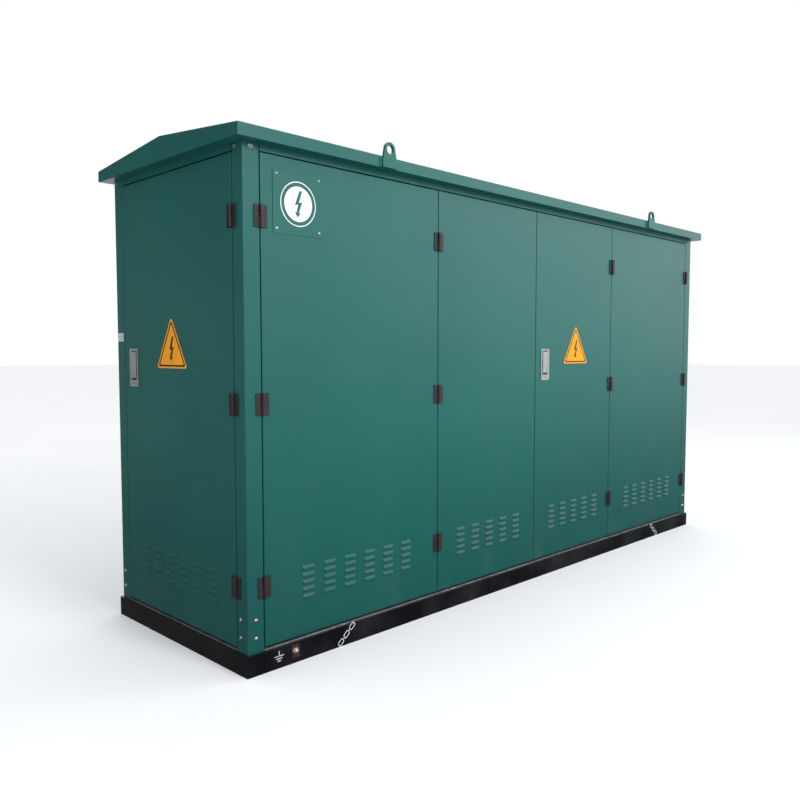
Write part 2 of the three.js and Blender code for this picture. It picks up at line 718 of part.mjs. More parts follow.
function lowVoltageBoard() {
  const y0 = equipmentFront + breaker.deep + seatGap;
  const bottom = floorTop + seatGap;
  const plate = block(bayInner, bayOuter, y0, y0 + lvPanelThickness, bottom, equipmentTop);
  const feet = [bayInner, bayOuter - boardFoot.wide].map((x) =>
    block(x, x + boardFoot.wide, y0, y0 + boardFoot.deep, bottom, bottom + boardFoot.high));
  const { margin, high } = boardWindow;
  const window = block(bayInner + margin, bayOuter - margin, y0 - 1, y0 + lvPanelThickness + 1,
    bottom + margin, bottom + margin + high);
  return cut(join(plate, feet), window);
}

function mainBreaker() {
  const { wide, high, deep, step, stepDeep } = breaker;
  const w = wide / 2;
  const shell = block(-w, w, -deep, 0, 0, high);
  const steps = [[high - step, high + 1], [-1, step]].map(([low, top]) =>
    block(-w - 1, w + 1, -deep - 1, stepDeep - deep, low, top));
  const slot = block(-leverSlot.wide / 2, leverSlot.wide / 2, -deep - 1, leverSlot.deep - deep,
    leverSlot.low, leverSlot.high);
  return cut(shell, steps, slot);
}

function mainBreakerLever() {
  const { hub, hubLength, thick, reach, gripWide, gripThick } = breakerLever;
  const grip = reach - 24;
  return join(drum('x', hub, hubLength, [0, 0, 0], 12),
    block(-hub, hub, -grip - 2, 0, -thick / 2, thick / 2),
    block(-gripWide / 2, gripWide / 2, -reach, -grip, -gripThick / 2, gripThick / 2));
}

// ---------------------------------------------------------------- earth terminal and nameplate

function earthPlate() {
  const { wide, high, thick } = earthPad;
  const plate = block(-wide / 2, wide / 2, -thick, 0, -high / 2, high / 2);
  return cut(plate, bore('y', earthBoltRadius, 4 * thick, [0, 0, 0]));
}

function earthBolt() {
  const face = -earthPad.thick - seatGap;
  const headMiddle = face - earthWasher.thick - earthHead.high / 2;
  const length = 5 * earthBoltRadius;
  const washer = drum('y', earthWasher.radius, earthWasher.thick, [0, face - earthWasher.thick / 2, 0], 16);
  const head = drum('y', earthHead.radius, earthHead.high + 1, [0, headMiddle + 0.5, 0], 6);
  const shank = drum('y', earthBoltRadius, length, [0, face - 1 + length / 2, 0]);
  return join(washer, head, shank);
}

// ---------------------------------------------------------------- assembly

const quarter = Math.PI / 2;

place('base_frame', baseBlack, baseFrame());
place('floor_plate', galvanised, floorPlate());

for (const [name, sx, sy] of [['front_left', -1, -1], ['front_right', 1, -1],
  ['rear_left', -1, 1], ['rear_right', 1, 1]]) {
  const tabs = [];
  if (sy < 0) {
    const x = -sx * (postFaceX - tabOffset);
    tabs.push(...tabHoles(x, postBottom));
  }
  if (name === 'front_left') {
    const half = hingeTabWidth / 2 + seatGap;
    const tall = hingeTabHeight / 2 + seatGap;
    const y = postFaceY - tabOffset;
    tabs.push(...hingeLevels.map((z) => block(-1, 2 * postWall, y - half, y + half,
      z - postBottom - tall, z - postBottom + tall)));
  }
  place('corner_post_' + name, paint, cornerPost(sx, sy, tabs),
    { at: [sx * halfLength, sy * halfDepth, postBottom] });
}

place('top_frame', paint, topFrame());
place('roof_cover', paint, cut(roofShell(0, 0), roofShell(roofSheet, -1)));

for (const [name, sx, sy] of [['front_left', -1, -1], ['front_right', 1, -1],
  ['rear_left', -1, 1], ['rear_right', 1, 1]]) {
  const y = sy * (halfDepth + roofOverhang + seatGap);
  place('lifting_lug_' + name, paint, liftingLug(),
    { at: [sx * lugOffset, y, roofUnder], turn: sy > 0 ? Math.PI : 0 });
}

const frontDoors = [
  ['front_door_1', -outerPanX, outerPanWidth, 6, [-1, 1]],
  ['front_door_2', -innerPanX, innerPanWidth, 5, [-1]],
  ['front_door_3', innerPanX, innerPanWidth, 5, [1]],
  ['front_door_4', outerPanX, outerPanWidth, 6, [-1, 1]],
];
for (const [name, x, width, columns, hingedSides] of frontDoors) {
  let door = cut(pan(width, columns), hingedSides.map((side) => panTabHoles(width, side)));
  if (name === 'front_door_3') door = fitLock(door, width);
  place(name, paint, door, { at: [x, -halfDepth, doorBottom] });
}
const endDoor = fitLock(cut(pan(endPanWidth, 6), panTabHoles(endPanWidth, 1)), endPanWidth);
place('end_door', paint, endDoor, { at: [-halfLength, 0, doorBottom], turn: -quarter });

place('end_panel', paint, pan(endPanWidth, 3), { at: [halfLength, 0, doorBottom], turn: quarter });
for (const [name, side] of [['rear_panel_left', -1], ['rear_panel_right', 1]]) {
  place(name, paint, pan(outerSeam - doorGap, 3),
    { at: [side * outerSeam / 2, halfDepth, doorBottom], turn: Math.PI });
}

// Hinge lines: name, seam position, side of the fixed leaf, wall behind the fixed leaf.
const hingeLines = [
  ['door_1', -outerSeam, -1, postWall],
  ['door_2', -innerDoorWidth, -1, sheet],
  ['door_3', innerDoorWidth, 1, sheet],
  ['door_4', outerSeam, 1, postWall],
];
for (const [name, x, side, wall] of hingeLines) {
  const at = [x, -halfDepth, 0];
  place('hinges_' + name + '_fixed', darkSteel, hingeSet(side, true, wall), { at });
  place('hinges_' + name + '_moving', darkSteel, hingeSet(-side, false, sheet), { at });
}
const endHingeAt = { at: [-halfLength, -endSeam, 0], turn: -quarter };
place('hinges_end_door_fixed', darkSteel, hingeSet(1, true, postWall), endHingeAt);
place('hinges_end_door_moving', darkSteel, hingeSet(-1, false, sheet), endHingeAt);

const locks = [
  ['front', frontLockX, -halfDepth, 0],
  ['end', -halfLength, endLockY, -quarter],
];
for (const [name, x, y, turn] of locks) {
  const at = [x, y, handleLevel];
  place('lock_housing_' + name, zinc, lockHousing(), { at, turn });
  place('lock_paddle_' + name, zinc, lockPaddle(), { at, turn });
  place('lock_cylinder_' + name, zinc, lockCylinder(), { at, turn });
  place('lock_rod_' + name, zinc, lockRodBar(), { at: [x, y, doorBottom], turn });
}

const nameplateX = -outerSeam + nameplateInset;
const nameplateHalf = nameplateSize / 2;
place('nameplate', paint, block(-nameplateHalf, nameplateHalf, -nameplateThickness, 0,
  -nameplateHalf, nameplateHalf), { at: [nameplateX, -halfDepth - seatGap, doorTop - nameplateDrop] });

const earthAt = [-halfLength - baseProud + earthPad.fromEnd, -halfDepth - baseProud - seatGap, earthPad.lift];
place('earth_plate', copper, earthPlate(), { at: earthAt });
place('earth_bolt', zinc, earthBolt(), { at: earthAt });

place('partition_left', galvanised, partition(), { at: [-innerDoorWidth, 0, 0] });
place('partition_right', galvanised, partition(), { at: [innerDoorWidth, 0, 0] });

place('transformer_tank', tankGrey, transformerTank());
place('transformer_lid', tankGrey, tankLid());
place('core_and_windings', coreSteel, coreAndWindings());
place('tap_changer_knob', redPlastic, tapChanger(), { at: [0, 0, lidTop + 8] });
place('lv_bushing_block', epoxy, lvBushingBlock(), { at: [terminalX, lvRowShift, lidTop + seatGap] });
lvRow().forEach((y, i) => place('lv_busbar_' + (i + 1), copper, lvBusbar(y + lvRowShift, lvCentre)));
hvRow().forEach((y, i) => place('hv_link_cable_' + (i + 1), cableJacket, hvCable(y, -bayInner + seatGap)));

place('hv_switch_cabinet', panelGrey, switchCabinet());
place('hv_operating_handle', redPlastic, operatingHandle(),
  { at: [hvCentre, equipmentFront, hvSpindleLevel] });
place('lv_board', panelGrey, lowVoltageBoard());
const breakerLevel = equipmentTop - breaker.high - breaker.drop;
place('main_breaker', blackPlastic, mainBreaker(),
  { at: [lvCentre, equipmentFront + breaker.deep, breakerLevel] });
place('main_breaker_lever', redPlastic, mainBreakerLever(),
  { at: [lvCentre, equipmentFront + leverAxis.inset, breakerLevel + leverAxis.level] });

export default model;
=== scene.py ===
import math
import random

import bmesh
import bpy
from mathutils import Matrix, Vector


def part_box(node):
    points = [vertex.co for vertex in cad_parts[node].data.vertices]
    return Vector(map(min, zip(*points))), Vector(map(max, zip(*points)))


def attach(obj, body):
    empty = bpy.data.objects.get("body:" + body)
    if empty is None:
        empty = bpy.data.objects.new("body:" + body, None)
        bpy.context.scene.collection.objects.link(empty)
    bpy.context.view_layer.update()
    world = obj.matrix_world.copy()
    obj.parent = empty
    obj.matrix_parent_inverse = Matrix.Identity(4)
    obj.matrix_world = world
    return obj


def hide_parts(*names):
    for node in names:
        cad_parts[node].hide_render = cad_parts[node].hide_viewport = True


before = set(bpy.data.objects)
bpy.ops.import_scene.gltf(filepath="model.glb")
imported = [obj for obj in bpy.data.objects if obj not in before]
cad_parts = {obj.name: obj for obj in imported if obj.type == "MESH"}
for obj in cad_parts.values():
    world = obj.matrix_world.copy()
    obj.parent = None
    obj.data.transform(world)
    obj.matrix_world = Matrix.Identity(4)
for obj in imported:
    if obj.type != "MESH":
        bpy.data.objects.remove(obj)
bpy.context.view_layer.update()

MM = 0.001
QUARTER = math.pi / 2
TINY = 1e-6
SHARP_ANGLE = math.radians(35)
UP = (0, 0, 1)
TO_FRONT = (0, -1, 0)
TO_REAR = (0, 1, 0)
CORNERS = [("front_left", -1, -1), ("front_right", 1, -1), ("rear_left", -1, 1), ("rear_right", 1, 1)]

# ------------------------------------------------------------------ sizes read from the frame

DOOR_LOW, DOOR_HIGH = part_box("front_door_1")
DOOR_BOTTOM = DOOR_LOW.z
DOOR_TOP = DOOR_HIGH.z
DOOR_HEIGHT = DOOR_TOP - DOOR_BOTTOM
FRONT_Y = DOOR_LOW.y
POST_LOW, POST_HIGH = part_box("corner_post_front_left")
HALF_LENGTH = -POST_LOW.x
HALF_DEPTH = -POST_LOW.y
ROOF_LOW, ROOF_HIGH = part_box("roof_cover")
BASE_FRONT_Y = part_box("base_frame")[0].y
LOCK_FRONT_LOW, LOCK_FRONT_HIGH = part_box("lock_housing_front")
LOCK_END_LOW, LOCK_END_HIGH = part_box("lock_housing_end")
PLATE_LOW, PLATE_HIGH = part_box("nameplate")
LID_LOW, LID_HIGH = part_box("transformer_lid")

# ------------------------------------------------------------------ sizes of the finer detail

SHEET = 2.5 * MM
PAN_DEPTH = 25 * MM
FOLD_RADIUS = 3.5 * MM
FOLD_STEPS = 4
DOOR_GAP = 4 * MM
BAR_SLOT = 12 * MM

LOUVRE_WIDTH = 60 * MM
LOUVRE_PITCH_X = 109 * MM
LOUVRE_PITCH_Z = 28.4 * MM
LOUVRE_ROWS = 5
LOUVRE_TOP = 276 * MM
LOUVRE_DROP = 17 * MM
LOUVRE_PROUD = 7 * MM
LOUVRE_STEPS_X = 14
LOUVRE_STEPS_Z = 5

HINGE_HEIGHT = 82 * MM
HINGE_INSET = 229 * MM
HINGE_REACH = 29 * MM
HINGE_AXIS_OUT = 8 * MM
KNUCKLE_RADIUS = 7 * MM


def mm(*pairs):
    """Pairs given in millimetres, as metres."""
    return [(a * MM, b * MM) for a, b in pairs]


def srgb(r, g, b):
    """A colour given as 0 to 255 in the usual display space, as linear light."""
    def channel(v):
        v = v / 255
        return v / 12.92 if v <= 0.04045 else ((v + 0.055) / 1.055) ** 2.4
    return (channel(r), channel(g), channel(b), 1.0)


# ------------------------------------------------------------------ materials

class Graph:
    """A short way to wire one material's nodes."""

    def __init__(self, name):
        self.material = bpy.data.materials.new(name)
        self.material.use_nodes = True
        self.tree = self.material.node_tree
        self.shader = self.tree.nodes["Principled BSDF"]
        self.coords = self.add("ShaderNodeTexCoord").outputs["Object"]

    def add(self, kind, **settings):
        node = self.tree.nodes.new(kind)
        for key, value in settings.items():
            setattr(node, key, value)
        return node

    def link(self, output, socket):
        self.tree.links.new(output, socket)

    def set(self, **values):
        for key, value in values.items():
            self.shader.inputs[key.replace("_", " ")].default_value = value

    def noise(self, scale, detail=4.0, roughness=0.55, stretch=None):
        node = self.add("ShaderNodeTexNoise")
        node.inputs["Scale"].default_value = scale
        node.inputs["Detail"].default_value = detail
        node.inputs["Roughness"].default_value = roughness
        source = self.coords
        if stretch:
            mapping = self.add("ShaderNodeMapping")
            mapping.inputs["Scale"].default_value = stretch
            self.link(self.coords, mapping.inputs["Vector"])
            source = mapping.outputs["Vector"]
        self.link(source, node.inputs["Vector"])
        return node.outputs["Fac"]

    def voronoi(self, scale):
        node = self.add("ShaderNodeTexVoronoi")
        node.inputs["Scale"].default_value = scale
        self.link(self.coords, node.inputs["Vector"])
        return node

    def remap(self, value, low, high, to_low=0.0, to_high=1.0):
        node = self.add("ShaderNodeMapRange")
        ends = {"From Min": low, "From Max": high, "To Min": to_low, "To Max": to_high}
        for socket, number in ends.items():
            node.inputs[socket].default_value = number
        self.link(value, node.inputs["Value"])
        return node.outputs["Result"]

    def math(self, operation, a, b):
        node = self.add("ShaderNodeMath", operation=operation)
        for socket, value in zip(node.inputs, (a, b)):
            if isinstance(value, (int, float)):
                socket.default_value = value
            else:
                self.link(value, socket)
        return node.outputs["Value"]

    def mix(self, factor, a, b):
        node = self.add("ShaderNodeMix", data_type="RGBA")
        self.link(factor, node.inputs["Factor"])
        for socket, value in ((node.inputs[6], a), (node.inputs[7], b)):
            if isinstance(value, tuple):
                socket.default_value = value
            else:
                self.link(value, socket)
        return node.outputs[2]

    def height(self):
        split = self.add("ShaderNodeSeparateXYZ")
        self.link(self.coords, split.inputs["Vector"])
        return split.outputs["Z"]

    def bump(self, height, strength, distance, normal=None):
        node = self.add("ShaderNodeBump")
        node.inputs["Strength"].default_value = strength
        node.inputs["Distance"].default_value = distance
        self.link(height, node.inputs["Height"])
        if normal is not None:
            self.link(normal, node.inputs["Normal"])
        return node.outputs["Normal"]

    def finish(self, color, roughness, normal=None):
        self.link(color, self.shader.inputs["Base Color"])
        self.link(roughness, self.shader.inputs["Roughness"])
        if normal is not None:
            self.link(normal, self.shader.inputs["Normal"])
        return self.material


def powder_coat(name, base, dark, gloss=0.36, dust=0.5):
    """Sprayed enamel: faint orange peel, slow waves in the sheet, painted shade darkening it towards the
    bottom, thin dust low down and in patches.
    """
    g = Graph(name)
    tone = g.remap(g.noise(1.1, 3), 0.35, 0.65)
    color = g.mix(tone, base, dark)
    # painted shade: the colour darkens towards the bottom, standing in for the weaker light there
    low = g.remap(g.height(), 0.9, 0.1)
    color = g.mix(g.math("MULTIPLY", low, 0.45), color, (dark[0] * 0.4, dark[1] * 0.5, dark[2] * 0.5, 1.0))
    foot = g.remap(g.height(), 0.35, 0.09)
    streak = g.remap(g.noise(7.0, 6, stretch=(1.0, 1.0, 0.35)), 0.45, 0.8)
    grime = g.math("MULTIPLY", g.math("MULTIPLY", foot, streak), dust * 0.4)
    color = g.mix(grime, color, srgb(74, 92, 84))
    specks = g.remap(g.noise(70.0, 5), 0.68, 0.80, 0.0, 0.10 * dust)
    color = g.mix(specks, color, srgb(120, 150, 144))
    roughness = g.remap(g.noise(4.0, 5), 0.3, 0.7, gloss - 0.04, gloss + 0.05)
    roughness = g.math("ADD", roughness, g.math("MULTIPLY", grime, 0.4))
    waves = g.bump(g.noise(1.6, 1.0, 0.4), 0.06, 0.02)
    peel = g.bump(g.noise(420.0, 2), 0.05, 0.0006, waves)
    g.set(Specular_IOR_Level=0.42)
    return g.finish(color, roughness, peel)


def worn_black(name, base, dust_color, gloss=0.3, dust=0.5):
    """Thick black paint with dust settled on it and small chips."""
    g = Graph(name)
    cloud = g.remap(g.noise(5.0, 6), 0.40, 0.72)
    grime = g.math("MULTIPLY", cloud, dust)
    color = g.mix(grime, base, dust_color)
    chips = g.remap(g.noise(85.0, 4), 0.70, 0.74, 0.0, 0.35)
    color = g.mix(chips, color, srgb(92, 88, 84))
    roughness = g.remap(cloud, 0.0, 1.0, gloss, gloss + 0.25)
    normal = g.bump(g.noise(150.0, 4), 0.12, 0.0008)
    g.set(Specular_IOR_Level=0.45)
    return g.finish(color, roughness, normal)


def metal(name, base, dark, rough=0.35, grain=(1.0, 1.0, 30.0), metallic=1.0):
    """Plated or bare metal with a fine grain and cloudy tarnish."""
    g = Graph(name)
    cloud = g.remap(g.noise(22.0, 5), 0.35, 0.68)
    color = g.mix(cloud, base, dark)
    lines = g.noise(240.0, 3, stretch=grain)
    roughness = g.remap(lines, 0.3, 0.7, rough - 0.08, rough + 0.12)
    normal = g.bump(lines, 0.10, 0.0003)
    g.set(Metallic=metallic)
    return g.finish(color, roughness, normal)


def galvanised_sheet(name):
    """Zinc-coated steel with its crystal spangle."""
    g = Graph(name)
    cells = g.voronoi(48.0)
    spangle = g.add("ShaderNodeSeparateColor")
    g.link(cells.outputs["Color"], spangle.inputs["Color"])
    color = g.mix(spangle.outputs["Red"], srgb(150, 156, 158), srgb(186, 191, 193))
    cloud = g.remap(g.noise(6.0, 4), 0.4, 0.7, 0.0, 0.4)
    color = g.mix(cloud, color, srgb(120, 124, 126))
    roughness = g.remap(spangle.outputs["Green"], 0.0, 1.0, 0.32, 0.5)
    g.set(Metallic=0.85)
    return g.finish(color, roughness, g.bump(g.noise(90.0, 3), 0.06, 0.0004))


def moulded(name, base, dark, rough=0.4, grain=260.0, metallic=0.0, specular=0.5):
    """Plastic, resin, rubber or textured paint with a fine moulded grain."""
    g = Graph(name)
    color = g.mix(g.remap(g.noise(14.0, 4), 0.35, 0.7), base, dark)
    fine = g.noise(grain, 3)
    roughness = g.remap(fine, 0.3, 0.7, rough - 0.05, rough + 0.08)
    g.set(Specular_IOR_Level=specular, Metallic=metallic)
    return g.finish(color, roughness, g.bump(fine, 0.12, 0.0004))


GREEN = powder_coat("green_paint", srgb(8, 88, 81), srgb(7, 83, 79))
PLATE_GREEN = powder_coat("plate_green", srgb(8, 88, 80), srgb(7, 85, 79), gloss=0.4, dust=0.2)
BLACK = worn_black("base_black", srgb(11, 11, 16), srgb(34, 34, 38), gloss=0.24, dust=0.35)
HINGE = worn_black("hinge_steel", srgb(34, 26, 29), srgb(66, 56, 56), gloss=0.5, dust=0.3)
NICKEL = metal("lock_nickel", srgb(164, 168, 166), srgb(144, 149, 150), rough=0.45, metallic=0.5)
ZINC = metal("bright_zinc", srgb(214, 216, 214), srgb(182, 186, 184), rough=0.26, grain=(4.0, 4.0, 4.0))
COPPER = metal("copper", srgb(150, 104, 84), srgb(104, 72, 62), rough=0.45)
GALVANISED = galvanised_sheet("galvanised")
TANK = powder_coat("tank_grey", srgb(122, 132, 136), srgb(112, 122, 128), gloss=0.42, dust=0.4)
PANEL = moulded("panel_grey", srgb(204, 208, 204), srgb(194, 199, 196), rough=0.5, grain=420.0)
RUBBER = moulded("gasket_rubber", srgb(24, 24, 25), srgb(38, 38, 39), rough=0.75, specular=0.3)
BLACK_PLASTIC = moulded("black_plastic", srgb(30, 30, 33), srgb(42, 42, 45), rough=0.45)
RED_PLASTIC = moulded("red_plastic", srgb(176, 34, 28), srgb(152, 28, 24), rough=0.32)
EPOXY = moulded("epoxy_resin", srgb(112, 52, 40), srgb(92, 42, 34), rough=0.25, grain=80.0)
SHEATH = moulded("cable_sheath", srgb(128, 34, 30), srgb(104, 28, 26), rough=0.6)
CORE = metal("core_steel", srgb(96, 98, 102), srgb(78, 80, 84), rough=0.5)
WHITE = moulded("white_enamel", srgb(212, 220, 216), srgb(198, 208, 204), rough=0.38, grain=120.0)
STENCIL = moulded("stencil_white", srgb(206, 206, 204), srgb(164, 164, 166), rough=0.6, grain=90.0)
AMBER = moulded("amber_film", srgb(228, 150, 0), srgb(216, 136, 0), rough=0.55, specular=0.2)
SIGN_BLACK = moulded("sign_black", srgb(44, 30, 26), srgb(56, 40, 34), rough=0.5)
COVER_GREY = moulded("cover_grey", srgb(150, 158, 162), srgb(136, 146, 150), rough=0.35)
PALE_TAG = moulded("pale_tag", srgb(176, 190, 196), srgb(150, 166, 172), rough=0.4)

# ------------------------------------------------------------------ mesh helpers


def settle(bm, name, material, body, place=None, replaces=()):
    """Turns a bmesh into a piece that rides on a body. place moves it from its own frame into the row's."""
    if place is not None:
        bmesh.ops.transform(bm, matrix=place, verts=bm.verts)
    mesh = bpy.data.meshes.new(name)
    bm.to_mesh(mesh)
    bm.free()
    for polygon in mesh.polygons:
        polygon.use_smooth = True
    mesh.set_sharp_from_angle(angle=SHARP_ANGLE)
    mesh.materials.append(material)
    piece = bpy.data.objects.new(name, mesh)
    bpy.context.scene.collection.objects.link(piece)
    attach(piece, body)
    if replaces:
        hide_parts(*replaces)
    even_shading(piece)
    return piece


def even_shading(piece):
    """Flat faces stay flat next to rounded edges."""
    shading = piece.modifiers.new("shading", "WEIGHTED_NORMAL")
    shading.mode = "FACE_AREA"
    shading.weight = 100
    shading.keep_sharp = True


def box_into(bm, low, high, round_by=0.0, segments=2):
    """Adds a box with rounded edges between two corners."""
    low, high = Vector(low), Vector(high)
    made = bmesh.ops.create_cube(bm, size=1.0)["verts"]
    size = high - low
    for v in made:
        v.co = Vector((v.co.x * size.x, v.co.y * size.y, v.co.z * size.z)) + (low + high) / 2
    if round_by:
        edges = list({e for v in made for e in v.link_edges})
        bmesh.ops.bevel(bm, geom=edges, offset=round_by, segments=segments, profile=0.5,
                        affect="EDGES", clamp_overlap=True)


def lathe_into(bm, profile, at, axis, sides=24):
    """Adds a turned shape. profile is (radius, distance along the axis) from one end to the other."""
    turn = Vector(UP).rotation_difference(Vector(axis)).to_matrix()
    rings = []
    for radius, along in profile:
        if radius <= 1e-9:
            rings.append([bm.verts.new(Vector(at) + turn @ Vector((0, 0, along)))])
            continue
        ring = []
        for i in range(sides):
            a = 2 * math.pi * i / sides
            spoke = Vector((radius * math.cos(a), radius * math.sin(a), along))
            ring.append(bm.verts.new(Vector(at) + turn @ spoke))
        rings.append(ring)
    for first, second in zip(rings, rings[1:]):
        for i in range(sides):
            j = (i + 1) % sides
            corners = [first[i % len(first)], first[j % len(first)],
                       second[j % len(second)], second[i % len(second)]]
            unique = []
            for v in corners:
                if v not in unique:
                    unique.append(v)
            if len(unique) > 2:
                bm.faces.new(unique)
    for ring, flip in ((rings[0], True), (rings[-1], False)):
        if len(ring) > 1:
            bm.faces.new(list(reversed(ring)) if flip else ring)


def plate_into(bm, outline, y_front, y_back):
    """Adds a flat plate with an outline in X and Z between two depths. Returns its front face."""
    front = [bm.verts.new((x, y_front, z)) for x, z in outline]
    back = [bm.verts.new((x, y_back, z)) for x, z in outline]
    face = bm.faces.new(front)
    bm.faces.new(list(reversed(back)))
    for i in range(len(outline)):
        j = (i + 1) % len(outline)
        bm.faces.new((front[j], front[i], back[i], back[j]))
    return face


def rounded_outline(points, radius, steps=5):
    """A closed outline with each corner turned into an arc."""
    made = []
    for i, p in enumerate(points):
        p = Vector(p)
        before = (Vector(points[i - 1]) - p).normalized()
        after = (Vector(points[(i + 1) % len(points)]) - p).normalized()
        half = before.angle(after) / 2
        reach = radius / math.tan(half)
        centre = p + (before + after).normalized() * (radius / math.sin(half))
        start = p + before * reach - centre
        end = p + after * reach - centre
        sweep = start.angle_signed(end)
        for k in range(steps + 1):
            a = -sweep * k / steps
            turned = Vector((start.x * math.cos(a) - start.y * math.sin(a),
                             start.x * math.sin(a) + start.y * math.cos(a)))
            made.append(tuple(centre + turned))
    return made


def rounded_box(half_x, half_z, radius, steps):
    """A rounded rectangle about the origin, in X and Z."""
    corners = [(-half_x, -half_z), (half_x, -half_z), (half_x, half_z), (-half_x, half_z)]
    return rounded_outline(corners, radius, steps)


def fix_normals(bm):
    bmesh.ops.recalc_face_normals(bm, faces=bm.faces)


def face_out(bm, is_outside):
    """Turns an open surface so that its outside faces out. is_outside looks at the settled bmesh."""
    fix_normals(bm)
    bm.normal_update()
    if not is_outside(bm):
        bmesh.ops.reverse_faces(bm, faces=bm.faces)


def prism_sides(bm, lower, upper):
    """Joins two rings of vertices with quads, closing the loop."""
    count = len(lower)
    for i in range(count):
        j = (i + 1) % count
        bm.faces.new((lower[i], lower[j], upper[j], upper[i]))


def tube_into(bm, points, radius, sides=12, closed=False):
    """Adds a round tube along a list of points."""
    points = [Vector(p) for p in points]
    count = len(points)
    rings = []
    normal = None
    for i, p in enumerate(points):
        before = points[i - 1] if (closed or i) else points[0]
        after = points[(i + 1) % count] if (closed or i < count - 1) else points[-1]
        tangent = (after - before).normalized()
        if normal is None:
            normal = tangent.orthogonal().normalized()
        normal = (normal - tangent * normal.dot(tangent)).normalized()
        side = tangent.cross(normal)
        rings.append([bm.verts.new(p + (normal * math.cos(2 * math.pi * k / sides)
                                        + side * math.sin(2 * math.pi * k / sides)) * radius)
                      for k in range(sides)])
    pairs = list(zip(rings, rings[1:]))
    if closed:
        pairs.append((rings[-1], rings[0]))
    for a, b in pairs:
        for k in range(sides):
            n = (k + 1) % sides
            bm.faces.new((a[k], a[n], b[n], b[k]))
    if not closed:
        bm.faces.new(list(reversed(rings[0])))
        bm.faces.new(rings[-1])


def facing(x, y, z, turn=0.0):
    """The place of a piece made in its own frame, whose front is -Y."""
    return Matrix.Translation((x, y, z)) @ Matrix.Rotation(turn, 4, "Z")


def soften(node, width):
    """Rounds the edges of a CAD node that stays in view."""
    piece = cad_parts[node]
    weld = piece.modifiers.new("weld", "WELD")
    weld.merge_threshold = 1e-5
    bevel = piece.modifiers.new("round", "BEVEL")
    bevel.width = width
    bevel.segments = 2
    bevel.limit_method = "ANGLE"
    bevel.angle_limit = math.radians(40)
    bevel.use_clamp_overlap = True
    for polygon in piece.data.polygons:
        polygon.use_smooth = True
    even_shading(piece)


def paint_node(node, material, round_by=None):
    """Gives a CAD node that stays in view its material."""
    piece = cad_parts[node]
    piece.data.materials.clear()
    piece.data.materials.append(material)
    if round_by:
        soften(node, round_by)


# ------------------------------------------------------------------ sheet pans: doors and panels

def hood_depth(u, v):
    """How far a louvre stands out, for u across and v from its fold down to its lip."""
    ends = max(0.0, 1.0 - abs(2 * u - 1) ** 6) ** 0.5
    return LOUVRE_PROUD * ends * math.sin(v * QUARTER)


def grid_lines(low, high, inner):
    return sorted({round(v, 6) for v in [low, high, *inner]})


